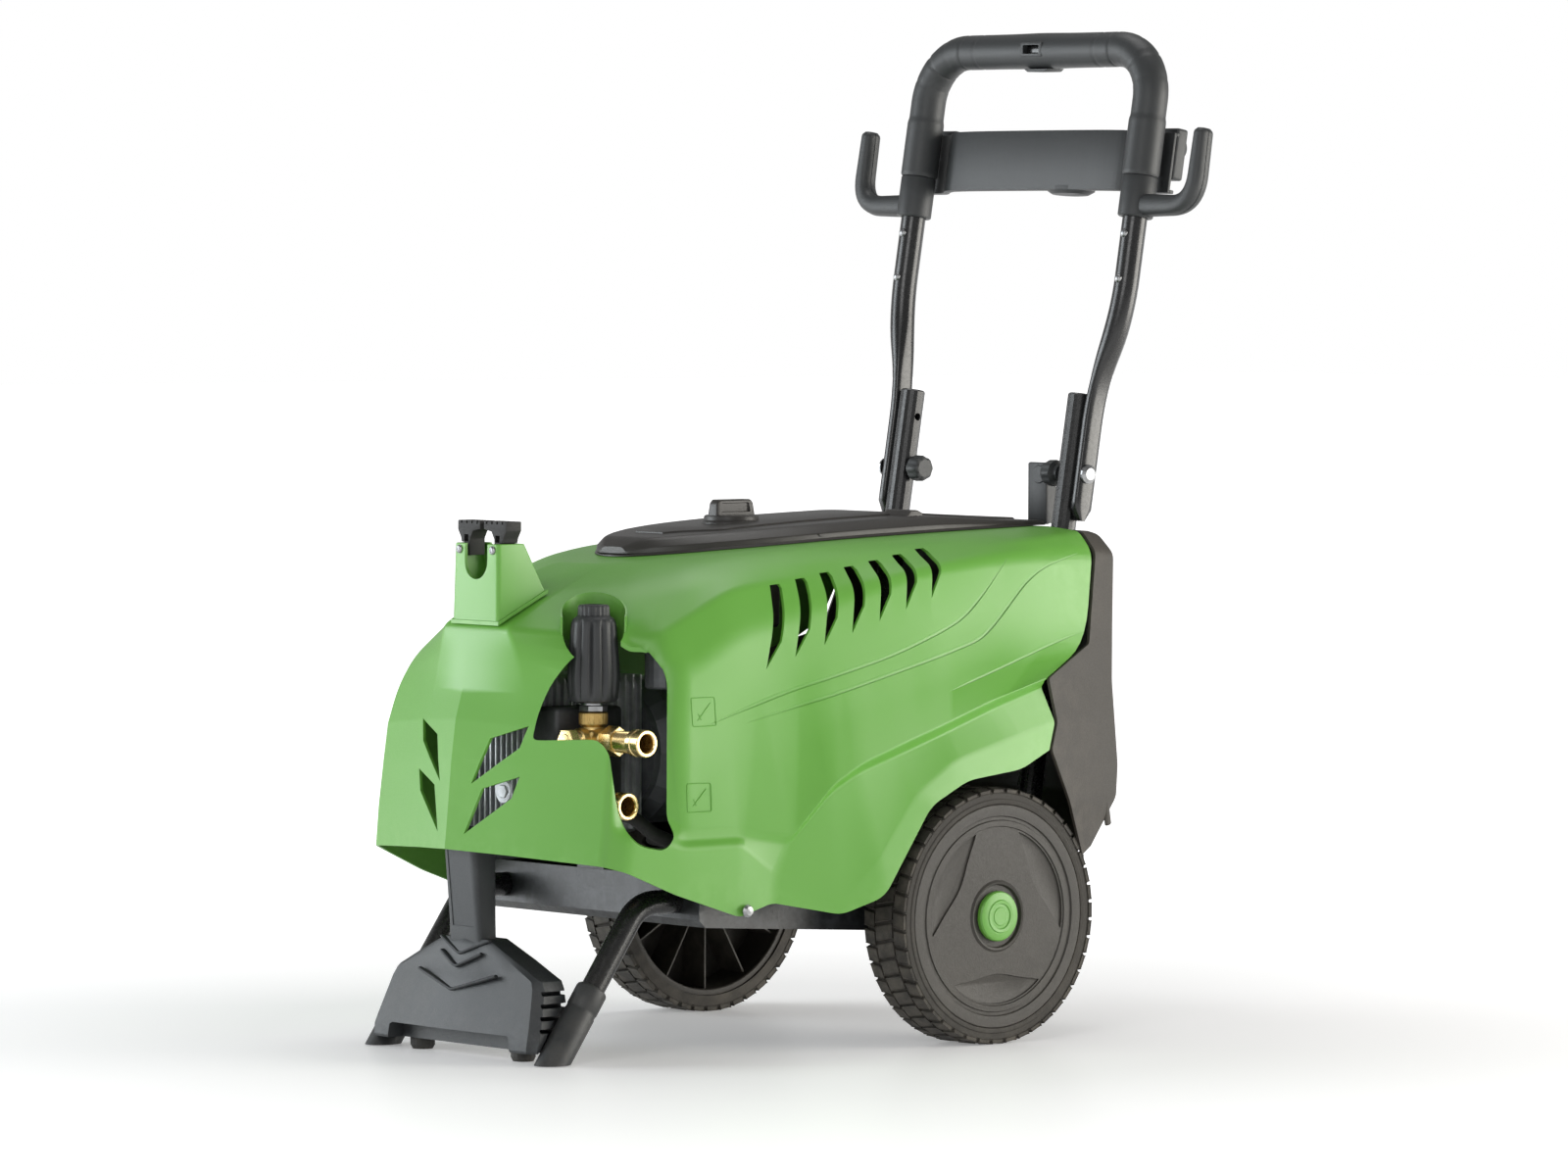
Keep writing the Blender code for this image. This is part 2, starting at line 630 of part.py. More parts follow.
def build_switch():
    """Rotary main switch: the knob turns on the roof, its contacts sit in a box below."""
    top = switch_seat()
    radius = SWITCH_RADIUS
    profile = [(0, 0.0165), (radius * 0.90, 0.0165), (radius * 0.93, 0.0145), (radius, 0.007), (radius, 0),
               (0.0042, 0), (0.0042, -0.036), (0, -0.036)]
    knob = place("power_switch_knob", turned_mesh("power_switch_knob", profile, 24), black(),
                 (0, SWITCH_Y, top))
    half = radius * 0.84
    outline = [(-half, 0.012), (half, 0.012), (half * 0.92, SWITCH_HEIGHT - 0.003),
               (half * 0.80, SWITCH_HEIGHT), (-half * 0.80, SWITCH_HEIGHT),
               (-half * 0.92, SWITCH_HEIGHT - 0.003)]
    bar = prism_mesh("bar", outline, -0.0062, 0.0062, "X")
    combine(knob, cutter("switch_bar", bar, (0, SWITCH_Y, top)), "UNION")
    low = roof_z(SWITCH_Y) - 0.085
    high = roof_z(SWITCH_Y) - HOOD_WALL - 0.006
    case = place("switch_box", box_mesh("switch_box", (-0.034, -0.036, low), (0.034, 0.036, high), 0.003),
                 black(), (0, SWITCH_Y, 0))
    hole = rod_mesh("hole", 0.006, high - 0.024, high + 0.01, 12)
    combine(case, cutter("switch_box_hole", hole, (0, SWITCH_Y, 0)))


# ---------------------------------------------------------------- lance holder on the nose
def build_lance_holder():
    """Hollow tower with a U notch that the lance lies in, and a ribbed rubber clip across it."""
    front = hood_point(*HOOD_COLUMNS[0][SEAT_FRONT])
    rear = hood_point(*HOOD_COLUMNS[0][SEAT_REAR])
    half = HOLDER_HALF_WIDTH
    top_front = front.z + HOLDER_HEIGHT
    depth = rear.y - front.y
    seat = GAP + 0.0008
    base = [Vector((-half, front.y + 0.001, front.z + seat)), Vector((half, front.y + 0.001, front.z + seat)),
            Vector((half + 0.005, rear.y, rear.z + seat)), Vector((-half - 0.005, rear.y, rear.z + seat))]
    crown = [Vector((-half + 0.002, front.y + 0.002, top_front)),
             Vector((half - 0.002, front.y + 0.002, top_front)),
             Vector((half - 0.002, front.y + depth * 0.62, top_front)),
             Vector((-half + 0.002, front.y + depth * 0.62, top_front))]
    tower = place("lance_holder", loft_mesh("lance_holder", [base, crown]), green())
    wall = 0.004
    middle = (front.y + depth * 0.31)
    hollow_base = [Vector((p.x * 0.86, blend(middle, p.y, 0.80), p.z + 0.010)) for p in base]
    hollow_crown = [Vector((p.x * 0.86, blend(middle, p.y, 0.72), p.z + 0.010)) for p in crown]
    combine(tower, cutter("holder_hollow", loft_mesh("hollow", [hollow_base, hollow_crown])))
    notch_z = top_front - 0.017
    outline = [(NOTCH_RADIUS, top_front + 0.03), (NOTCH_RADIUS, notch_z)]
    for step in range(1, 8):
        angle = math.pi * step / 8
        outline.append((NOTCH_RADIUS * math.cos(angle), notch_z - NOTCH_RADIUS * math.sin(angle)))
    outline += [(-NOTCH_RADIUS, notch_z), (-NOTCH_RADIUS, top_front + 0.03)]
    notch = prism_mesh("notch", outline, front.y - 0.01, rear.y + 0.01, "Y")
    combine(tower, cutter("holder_notch", notch))
    for side, sign in SIDES:
        hole = rod_mesh("hole", 0.0022, -0.012, 0.012, 8, "Y")
        combine(tower, cutter("holder_hole_" + side, hole, holder_screw_spot(sign)))


def holder_screw_spot(sign):
    front = hood_point(*HOOD_COLUMNS[0][SEAT_FRONT])
    return (sign * 0.0252, front.y + 0.002, front.z + HOLDER_HEIGHT - 0.006)


def build_holder_fittings():
    front = hood_point(*HOOD_COLUMNS[0][SEAT_FRONT])
    top = front.z + HOLDER_HEIGHT
    for side, sign in SIDES:
        profile = [(0, 0.0030), (0.0030, 0.0025), (0.0042, 0.0008), (0.0042, 0.0004), (0.0018, 0.0004),
                   (0.0018, -0.0052), (0, -0.0052)]
        mesh = turned_mesh("holder_screw_" + side, profile, 10, "Y")
        place("holder_screw_" + side, mesh, steel(), holder_screw_spot(sign), (0, 0, math.pi))
    inside = (HOLDER_HALF_WIDTH - 0.002) * 0.86 - GAP
    half = [(0.0405, top + 0.022), (0.0365, top + 0.0135), (0.031, top + GAP), (inside, top + GAP),
            (inside, top - 0.012), (NOTCH_RADIUS + 0.001, top - 0.012), (NOTCH_RADIUS + 0.001, top + 0.0125)]
    outline = half + [(-x, z) for x, z in reversed(half)]
    clip = prism_mesh("holder_clip", outline, front.y + 0.0085, front.y + 0.0275, "Y")
    place("holder_clip", clip, soft_rubber())


# ---------------------------------------------------------------- wheels and axle
def build_wheels():
    bore = AXLE_RADIUS + RUN_GAP
    seat = WHEEL_RADIUS - TYRE_SECTION
    for side, sign in SIDES:
        turn = (0, 0, 0 if sign > 0 else math.pi)
        spot = (sign * WHEEL_OUTER_X, 0, AXLE_Z)
        width = WHEEL_WIDTH
        tyre = [(seat, -0.0008), (WHEEL_RADIUS - 0.003, -0.0008), (WHEEL_RADIUS, -0.004),
                (WHEEL_RADIUS, -width + 0.003), (WHEEL_RADIUS - 0.003, -width), (seat, -width)]
        mesh = turned_mesh("tyre_" + side, tyre, 48, "X")
        place("tyre_" + side, mesh, soft_rubber(), spot, turn)
        edge = seat - GAP
        rim = [(bore, -0.004), (0.033, -0.004), (0.033, -0.001), (WHEEL_RADIUS * 0.66, -0.001),
               (WHEEL_RADIUS * 0.68, 0.0), (edge, 0.0), (edge, -width + 0.002), (edge - 0.006, -width + 0.002),
               (edge - 0.008, -0.010), (0.026, -0.012), (0.023, -width + 0.004), (bore, -width + 0.004)]
        mesh = turned_mesh("rim_" + side, rim, 32, "X")
        place("rim_" + side, mesh, grey_black(), spot, turn)
        radius = HUB_CAP_DIAMETER / 2
        cap = [(0, 0.0045), (radius * 0.55, 0.004), (radius * 0.6, 0.0028), (radius * 0.92, 0.0022),
               (radius, 0.0), (radius, -0.0036), (0, -0.0036)]
        mesh = turned_mesh("hub_cap_" + side, cap, 28, "X")
        place("hub_cap_" + side, mesh, green(), spot, turn)
    end = WHEEL_OUTER_X - 0.0085
    place("axle", rod_mesh("axle", AXLE_RADIUS, -end, end, 40, "X", 0.0008), steel(), (0, 0, AXLE_Z))


# ---------------------------------------------------------------- chassis and stand
def build_tray():
    """Sheet tray that carries the motor, axle and frame tubes, with a tongue to the front stand."""
    outline = [(TRAY_FRONT_Y, TRAY_TOP_Z), (TRAY_FRONT_Y, 0.132), (TRAY_FRONT_Y + 0.008, 0.1245),
               (-0.10, TRAY_FLOOR_Z), (0.10, TRAY_FLOOR_Z), (TRAY_REAR_Y - 0.01, TRAY_REAR_FLOOR_Z),
               (TRAY_REAR_Y, TRAY_REAR_FLOOR_Z + 0.008),
               (TRAY_REAR_Y, TRAY_TOP_Z)]
    half = TRAY_HALF_WIDTH
    tray = place("chassis_tray", prism_mesh("chassis_tray", outline, -half, half, "X"), black_paint())
    wall = TRAY_WALL
    hollow = [(TRAY_FRONT_Y + wall, TRAY_TOP_Z + 0.02), (TRAY_FRONT_Y + wall, 0.133),
              (TRAY_FRONT_Y + 0.009, 0.1245 + wall), (-0.10, TRAY_FLOOR_Z + wall), (0.10, TRAY_FLOOR_Z + wall),
              (TRAY_REAR_Y - 0.011, TRAY_REAR_FLOOR_Z + wall), (TRAY_REAR_Y - wall, TRAY_REAR_FLOOR_Z + 0.009),
              (TRAY_REAR_Y - wall, TRAY_TOP_Z + 0.02)]
    combine(tray, cutter("tray_hollow", prism_mesh("hollow", hollow, wall - half, half - wall, "X")))
    hole = rod_mesh("hole", AXLE_RADIUS + RUN_GAP, -half * 2, half * 2, 40, "X")
    combine(tray, cutter("tray_axle", hole, (0, 0, AXLE_Z)))
    arm = prism_mesh("arm", [(TRAY_FRONT_Y + 0.001, 0.150), (TRAY_FRONT_Y + 0.020, 0.150),
                             (TRAY_FRONT_Y + 0.020, ARM_TOP_Z), (POST_REAR_Y + GAP, ARM_TOP_Z),
                             (POST_REAR_Y + GAP, ARM_TOP_Z - 0.015), (TRAY_FRONT_Y + 0.001, ARM_TOP_Z - 0.015)],
                     -0.02, 0.02, "X")
    combine(tray, cutter("tray_arm", arm), "UNION")


POST_REAR_Y = -0.448
ARM_TOP_Z = 0.203


def foot_ring(half, front, rear, z, tilt=0.0):
    """Plan outline of the foot at one height, with its front brought forward in the middle."""
    return [Vector((-half, front, z)), Vector((-half * 0.35, front - 0.006, z + tilt)),
            Vector((half * 0.35, front - 0.006, z + tilt)), Vector((half, front, z)),
            Vector((half, rear, z)), Vector((-half, rear, z))]


def build_foot():
    """Moulded foot: a spread base, sloping shoulders and the post that rises into the nose."""
    wide = FOOT_HALF_WIDTH
    rings = [foot_ring(wide, FOOT_FRONT_Y + 0.006, -0.438, 0.011),
             foot_ring(wide, FOOT_FRONT_Y + 0.008, -0.437, 0.024),
             foot_ring(wide * 0.90, FOOT_FRONT_Y + 0.024, -0.436, 0.078),
             foot_ring(wide * 0.62, FOOT_FRONT_Y + 0.026, -0.438, 0.094),
             foot_ring(POST_HALF_WIDTH + 0.010, FOOT_FRONT_Y + 0.028, -0.441, FOOT_HEIGHT)]
    foot = place("stand_foot", loft_mesh("stand_foot", rings), black())
    arch = prism_mesh("arch", [(-0.097, -0.01), (-0.091, 0.0265), (0.091, 0.0265), (0.097, -0.01)],
                      -0.60, -0.4715, "Y")
    combine(foot, cutter("foot_arch", arch))
    top = 0.222
    post = POST_HALF_WIDTH
    post_rings = []
    for z, front, rear in ((0.070, -0.4625, POST_REAR_Y), (FOOT_HEIGHT - 0.006, -0.4665, POST_REAR_Y),
                           (top, -0.4795, POST_REAR_Y)):
        grow = 0.0025 * (1 if z < 0.1 else 0)
        post_rings.append([Vector((-post - grow, front, z)), Vector((post + grow, front, z)),
                           Vector((post + grow, rear, z)), Vector((-post - grow, rear, z))])
    combine(foot, cutter("post", loft_mesh("post", post_rings)), "UNION")
    for side, sign in SIDES:
        path = stand_path(sign)
        grown = sweep_rings(path, lambda n: STAND_SLEEVE_DIAMETER / 2 + 0.001,
                            lambda n: STAND_SLEEVE_DIAMETER / 2 + 0.001, Vector((1, 0, 0)), 12)
        combine(foot, cutter("foot_tube_" + side, loft_mesh("foot_tube", grown)))
        seat = rod_mesh("seat", 0.0042, 0.0, 0.021, 10)
        combine(foot, cutter("foot_seat_" + side, seat, (sign * RUBBER_FOOT_X, RUBBER_FOOT_Y, 0)))


def build_rubber_feet():
    radius = RUBBER_FOOT_DIAMETER / 2
    for side, sign in SIDES:
        profile = [(0, 0.0195), (0.0038, 0.0195), (0.0038, 0.0106), (radius, 0.0106), (radius, 0.004),
                   (radius - 0.002, 0.0), (0, 0.0)]
        mesh = turned_mesh("rubber_foot_" + side, profile, 16)
        place("rubber_foot_" + side, mesh, soft_rubber(), (sign * RUBBER_FOOT_X, RUBBER_FOOT_Y, 0))


def stand_path(sign, extend=0.02):
    x = sign * STAND_TUBE_X
    low = Vector((x, -0.468, 0.0))
    high = Vector((x, -0.392, 0.116))
    away = (low - high).normalized()
    points = [Vector((x, TRAY_FRONT_Y - GAP, 0.1485)), Vector((x, -0.362, 0.1485)), low + away * extend]
    return rounded_path(points, 0.075, 6)


def build_stand_tubes():
    """Two bent tubes from the tray down to the ground, each with a stout plastic sleeve."""
    for side, sign in SIDES:
        path = stand_path(sign)
        tube = sweep_rings(path, lambda n: TUBE_RADIUS - 0.0008, lambda n: TUBE_RADIUS - 0.0008,
                           Vector((1, 0, 0)), 14)
        piece = place("stand_tube_" + side, loft_mesh("stand_tube", tube), black_paint())
        ground = box_mesh("ground", (-0.5, -0.7, -0.2), (0.5, -0.2, 0.004))
        combine(piece, cutter("tube_ground_" + side, ground))
        low = path[-1]
        up = (path[-2] - low).normalized()
        start = low + up * 0.106
        across = Vector((1, 0, 0))
        outer, inner = STAND_SLEEVE_DIAMETER / 2, TUBE_RADIUS - 0.0008 + GAP
        spots = ((start, outer), (low, outer), (low, inner), (start, inner))
        rings = [oval(spot, across, up.cross(across), radius, radius, 16) for spot, radius in spots]
        sleeve = place("stand_sleeve_" + side, loft_mesh("stand_sleeve", rings, True), black())
        ground = box_mesh("ground", (-0.5, -0.7, -0.2), (0.5, -0.2, 0.0008))
        combine(sleeve, cutter("sleeve_ground_" + side, ground))


# ---------------------------------------------------------------- frame tubes, handle
def on_lean(height, back=0.0):
    """Y of the leaning line at a height above the pivot."""
    return PIVOT_Y + height * math.tan(LEAN) + back


def build_frame_tubes():
    floor = TRAY_REAR_FLOOR_Z + TRAY_WALL + GAP + TUBE_RADIUS * math.sin(LEAN)
    reach = (PIVOT_Z - floor) / math.cos(LEAN)
    rise = (FRAME_TUBE_TOP_Z - PIVOT_Z) / math.cos(LEAN)
    hole = rod_mesh("hole", PIVOT_BOLT_DIAMETER / 2 + RUN_GAP, -0.05, 0.05, 16, "X")
    for side, sign in SIDES:
        mesh = rod_mesh("frame_tube_" + side, TUBE_RADIUS, -reach, rise, 20, "Z", 0.0015)
        spot = (sign * FRAME_TUBE_X, PIVOT_Y, PIVOT_Z)
        tube = place("frame_tube_" + side, mesh, black_paint(), spot, (-LEAN, 0, 0))
        combine(tube, cutter("frame_pivot_" + side, hole, spot))
        spare = rod_mesh("spare", 0.004, -0.05, 0.05, 10, "X")
        combine(tube, cutter("spare_" + side, spare, (spot[0], on_lean(0.052), PIVOT_Z + 0.052)))


PRESSED_X = FRAME_TUBE_X + TUBE_RADIUS + GAP * 2 + PRESSED_THICKNESS / 2


def handle_path():
    """Centre line of the bent handle tube from its left lower end over the top to the right."""
    half = []
    bottom = -PRESSED_DROP * math.cos(LEAN)
    heights = [(bottom, PRESSED_X, PRESSED_BACKSET), (BEND_FOOT, PRESSED_X, PRESSED_BACKSET), (BEND_TOP, HANDLE_TUBE_X, HANDLE_BACKSET),
               (HANDLE_TOP_Z - PIVOT_Z, HANDLE_TUBE_X, HANDLE_BACKSET)]
    for height, x, back in heights:
        half.append(Vector((x, on_lean(height, back), PIVOT_Z + height)))
    corner = half.pop()
    straight = corner - handle_axes()[2] * 0.150
    side = rounded_path(half + [straight], 0.09, 3)
    turn = rounded_path([side[-1], corner, Vector((-corner.x, corner.y, corner.z))],
                        HANDLE_CORNER_RADIUS, 5)[1:-1]
    right = side + turn
    return [Vector((-p.x, p.y, p.z)) for p in right] + list(reversed(right))


def pressed_share(point):
    """1 where the tube is pressed flat, 0 where it is round."""
    return 1 - max(0.0, min(1.0, (point.z - PIVOT_Z - BEND_FOOT) / (BEND_TOP - BEND_FOOT)))


def handle_point(height, x):
    return Vector((x, on_lean(height, HANDLE_BACKSET), PIVOT_Z + height))


def handle_axes():
    up = Vector((0, math.sin(LEAN), math.cos(LEAN)))
    return Vector((1, 0, 0)), Vector((0, math.cos(LEAN), -math.sin(LEAN))), up


def build_handle_tube():
    path = handle_path()

    def thick(number):
        share = pressed_share(path[number])
        return blend(TUBE_RADIUS, PRESSED_THICKNESS / 2, share)

    def wide(number):
        share = pressed_share(path[number])
        return blend(TUBE_RADIUS, PRESSED_WIDTH / 2, share)

    rings = []
    back = handle_axes()[1]
    for number, point in enumerate(path):
        before = path[max(number - 1, 0)]
        after = path[min(number + 1, len(path) - 1)]
        along = (after - before).normalized()
        across = along.cross(back).normalized()
        rings.append(oval(point, across, back, thick(number), wide(number), 14))
    tube = place("handle_tube", loft_mesh("handle_tube", rings), black_paint())
    hole = rod_mesh("hole", PIVOT_BOLT_DIAMETER / 2 + RUN_GAP, -0.03, 0.03, 16, "X")
    for side, sign in SIDES:
        combine(tube, cutter("handle_pivot_" + side, hole, (sign * PRESSED_X, PIVOT_Y, PIVOT_Z)))
        for name, height in RIVETS:
            spot = rivet_spot(sign, height)
            drilled = rod_mesh("drilled", 0.0028, -0.012, 0.004, 8, "Y")
            combine(tube, cutter("rivet_hole_" + name + side, drilled, spot, (-LEAN, 0, 0)))


RIVETS = (("upper", 0.2382), ("lower", 0.1930))


def rivet_spot(sign, height):
    point = handle_point(height, sign * HANDLE_TUBE_X)
    front = handle_axes()[1]
    return point - front * TUBE_RADIUS


def build_rivets():
    for side, sign in SIDES:
        for name, height in RIVETS:
            profile = [(0, 0.0028), (0.0030, 0.0022), (0.0044, 0.0008), (0.0044, 0.0005), (0.0024, 0.0005),
                       (0.0024, -0.003), (0, -0.003)]
            mesh = turned_mesh("rivet", profile, 10, "Y")
            spot = rivet_spot(sign, height)
            place("rivet_" + name + "_" + side, mesh, steel(), spot, (LEAN, 0, math.pi))


GRIP_FOOT = 0.2965           # above the pivot: top of the hook sleeves
SLEEVE_FOOT = 0.2555         # bottom of the hook sleeves


def build_grip():
    """Moulded grip over the tube's bend: three runs of a thick hollow sleeve."""
    path = [p for p in handle_path() if p.z > PIVOT_Z + GRIP_FOOT + 0.06]
    foot_right = handle_point(GRIP_FOOT + GAP, HANDLE_TUBE_X)
    foot_left = handle_point(GRIP_FOOT + GAP, -HANDLE_TUBE_X)
    path = [foot_left, handle_point(GRIP_FOOT + 0.058, -HANDLE_TUBE_X)] + path
    path += [handle_point(GRIP_FOOT + 0.058, HANDLE_TUBE_X), foot_right]
    back = handle_axes()[1]

    def rings(radius):
        made = []
        for number, point in enumerate(path):
            before = path[max(number - 1, 0)]
            after = path[min(number + 1, len(path) - 1)]
            along = (after - before).normalized()
            made.append(oval(point, along.cross(back).normalized(), back, radius(number),
                             radius(number), 16))
        return made

    last = len(path) - 1

    def outer(number):
        return SLEEVE_DIAMETER / 2 if number in (0, 1, last - 1, last) else GRIP_DIAMETER / 2

    inner = rings(lambda number: TUBE_RADIUS + GAP * 1.5)
    shell = rings(outer) + list(reversed(inner))
    grip = place("handle_grip", loft_mesh("handle_grip", shell, True), black())
    top = HANDLE_TOP_Z
    slot = box_mesh("slot", (-0.0125, on_lean(top - PIVOT_Z) - 0.04, top - 0.002),
                    (0.0125, on_lean(top - PIVOT_Z) + HANDLE_BACKSET - TUBE_RADIUS + 0.004, top + 0.007))
    combine(grip, cutter("grip_slot", slot))


def build_hooks():
    """A sleeve each side with a J hook for the cable, outward and then up."""
    side_axis, back, up = handle_axes()
    for side, sign in SIDES:
        foot = handle_point(SLEEVE_FOOT, sign * HANDLE_TUBE_X)
        length = (GRIP_FOOT - SLEEVE_FOOT) / math.cos(LEAN)
        outer = SLEEVE_DIAMETER / 2 - 0.001
        inner = TUBE_RADIUS + GAP * 1.5
        mesh = ring_mesh("sleeve", inner, outer, 0, length, 20)
        sleeve = place("hook_sleeve_" + side, mesh, black(), foot, (-LEAN, 0, 0))
        start = handle_point(SLEEVE_FOOT + 0.012, sign * (HANDLE_TUBE_X + 0.0155))
        elbow = handle_point(SLEEVE_FOOT + 0.012, sign * HOOK_REACH_X)
        tip = elbow + up * 0.079
        path = rounded_path([start, elbow, tip], 0.034, 6)
        rings = []
        for number, point in enumerate(path):
            before = path[max(number - 1, 0)]
            after = path[min(number + 1, len(path) - 1)]
            along = (after - before).normalized()
            across = along.cross(back).normalized()
            share = number / (len(path) - 1)
            half = blend(0.0118, 0.0082, share)
            rings.append(oval(point, across, back, half, 0.0105, 10))
        combine(sleeve, cutter("hook_" + side, loft_mesh("hook", rings)), "UNION")


def build_band():
    """Bowed plate between the handle's legs, and the clamp blocks that hold its ends."""
    side_axis, back, up = handle_axes()
    middle = (BAND_LOW + BAND_HIGH) / 2
    anchor = handle_point(middle, 0)
    thickness = 0.0035
    run = [(0.0, 0.004), (0.090, 0.004), (0.132, 0.0075), (0.1425, 0.0150), (0.148, 0.0215),
           (0.156, 0.0240), (0.182, 0.0240)]
    outer = [(x, y) for x, y in run]
    inner = [(x, y + thickness) for x, y in run]
    outline = outer + list(reversed(inner))
    full = [(-x, y) for x, y in reversed(run)] + run[1:]
    outline = full + [(x, y + thickness) for x, y in reversed(full)]
    half = (BAND_HIGH - BAND_LOW) / 2
    mesh = prism_mesh("band_plate", outline, -half, half, "Z")
    place("band_plate", mesh, black(), anchor, (-LEAN, 0, 0))
    for side, sign in SIDES:
        block = box_mesh("block", (-0.0165, 0.0240 + thickness + GAP, -0.016),
                         (0.0165, BAND_KNOB_REACH - 0.009, 0.036), 0.002)
        spot = anchor + side_axis * (sign * HANDLE_TUBE_X)
        clamp = place("band_clamp_" + side, block, black(), spot, (-LEAN, 0, 0))
        reach = BAND_KNOB_REACH
        dome = turned_mesh("dome", [(0, reach), (0.006, reach - 0.001), (0.0125, reach - 0.0045),
                                    (0.0145, reach - 0.0105), (0.0145, reach - 0.0165), (0, reach - 0.0165)],
                           14, "Y")
        high = spot + up * BAND_KNOB_RISE
        combine(clamp, cutter("dome_" + side, dome, high, (-LEAN, 0, 0)), "UNION")


def build_pivots():
    """Fold bolts through frame tube and handle, each with a mushroom head and a star clamp knob."""
    head_x = PRESSED_X + PRESSED_THICKNESS / 2 + GAP
    knob_x = FRAME_TUBE_X - TUBE_RADIUS - GAP * 2
    for side, sign in SIDES:
        turn = (0, 0, 0 if sign > 0 else math.pi)
        radius = PIVOT_BOLT_DIAMETER / 2
        profile = [(0, head_x + 0.0052), (0.006, head_x + 0.0046), (0.0095, head_x + 0.002),
                   (0.0095, head_x), (radius, head_x), (radius, knob_x - 0.016), (0, knob_x - 0.016)]
        mesh = turned_mesh("pivot_bolt_" + side, profile, 16, "X")
        place("pivot_bolt_" + side, mesh, steel(), (0, PIVOT_Y, PIVOT_Z), turn)
        knob = [(radius + RUN_GAP, knob_x), (0.0085, knob_x), (0.0085, knob_x - 0.004),
                (CLAMP_KNOB_DIAMETER / 2, knob_x - 0.006), (CLAMP_KNOB_DIAMETER / 2, knob_x - 0.017),
                (CLAMP_KNOB_DIAMETER / 2 - 0.003, knob_x - 0.0205), (0.0, knob_x - 0.0215),
                (0.0, knob_x - 0.0175), (radius + RUN_GAP, knob_x - 0.0175)]
        mesh = turned_closed_mesh("clamp_knob_" + side, knob, 16)
        place("clamp_knob_" + side, mesh, black(), (0, PIVOT_Y, PIVOT_Z), turn)


def turned_closed_mesh(name, profile, segments):
    """A turned solid whose profile is a closed loop that may touch the axis, about X."""
    bm = bmesh.new()
    ring = [bm.verts.new((radius, 0, height)) for radius, height in profile]
    edges = []
    for first, second in zip(range(len(ring)), list(range(1, len(ring))) + [0]):
        if profile[first][0] > 0 or profile[second][0] > 0:
            edges.append(bm.edges.new((ring[first], ring[second])))
    bmesh.ops.spin(bm, geom=ring + edges, cent=(0, 0, 0), axis=(0, 0, 1), angle=2 * math.pi,
                   steps=segments, use_merge=True)
    bmesh.ops.remove_doubles(bm, verts=bm.verts, dist=1e-6)
    bmesh.ops.rotate(bm, verts=bm.verts, matrix=Matrix.Rotation(math.pi / 2, 3, "Y"))
    return to_mesh(name, bm)


def build_hose_bracket():
    """Ribbed upright bracket inside the right frame tube, for the wound hose."""
    x_low, x_high = 0.058, 0.086
    y = PIVOT_Y + 0.006
    base = roof_z(y) + 0.002
    mesh = box_mesh("hose_bracket", (x_low, y - 0.002, base), (x_high, y + 0.004, base + 0.062))
    bracket = place("hose_bracket", mesh, black())
    for number in range(3):
        x = blend(x_low + 0.001, x_high - 0.004, number / 2)
        rib = prism_mesh("rib", [(y, base + 0.001), (y + 0.022, base + 0.001), (y + 0.007, base + 0.059),
                                 (y, base + 0.059)], x, x + 0.003, "X")
        combine(bracket, cutter("rib_%d" % number, rib), "UNION")


# ---------------------------------------------------------------- motor and pump
def build_motor():
    front = MOTOR_FRONT_Y
    rear = MOTOR_FRONT_Y + MOTOR_LENGTH
    radius = MOTOR_RADIUS
    bore = SHAFT_DIAMETER / 2 + RUN_GAP
    profile = [(bore, rear), (radius - 0.012, rear), (radius - 0.012, rear - 0.012),
               (radius, rear - 0.018), (radius, front + 0.02), (radius - 0.01, front + 0.008),
               (radius - 0.01, front), (bore, front)]
    motor = place("motor_housing", turned_mesh("motor_housing", profile, 24, "Y"), motor_grey(),
                  (0, 0, MOTOR_AXIS_Z))
    floor = TRAY_FLOOR_Z + TRAY_WALL + GAP
    pad = box_mesh("pad", (-0.055, -0.098, floor), (0.055, -0.020, MOTOR_AXIS_Z - radius * 0.8))
    combine(motor, cutter("motor_pad", pad), "UNION")
    shaft_front = front - 0.050
    shaft_rear = rear + 0.038
    shaft = rod_mesh("motor_shaft", SHAFT_DIAMETER / 2, shaft_front, shaft_rear, 24, "Y", 0.001)
    place("motor_shaft", shaft, steel(), (0, 0, MOTOR_AXIS_Z))
    build_fan(rear)


def build_fan(rear):
    """Cooling fan pressed on the shaft's tail, inside a louvred cover."""
    bore = SHAFT_DIAMETER / 2 + GAP
    hub = ring_mesh("cooling_fan", bore, 0.018, rear + 0.006, rear + 0.030, 24, "Y")
    fan = place("cooling_fan", hub, black(), (0, 0, MOTOR_AXIS_Z))
    for number in range(8):
        blade = box_mesh("blade", (-0.0012, rear + 0.008, 0.016), (0.0012, rear + 0.028, 0.058))
        turn = (0, 2 * math.pi * number / 8, 0)
        combine(fan, cutter("blade_%d" % number, blade, (0, 0, MOTOR_AXIS_Z), turn), "UNION")
    radius = MOTOR_RADIUS - 0.0115
    cover = [(0.020, rear + 0.045), (radius, rear + 0.043), (radius + 0.004, rear + 0.038),
             (radius + 0.004, rear - 0.008), (radius, rear - 0.008), (radius, rear + 0.036),
             (radius - 0.004, rear + 0.0415), (0.020, rear + 0.0425)]
    mesh = turned_mesh("fan_cover", cover, 24, "Y")
    place("fan_cover", mesh, black(), (0, 0, MOTOR_AXIS_Z))


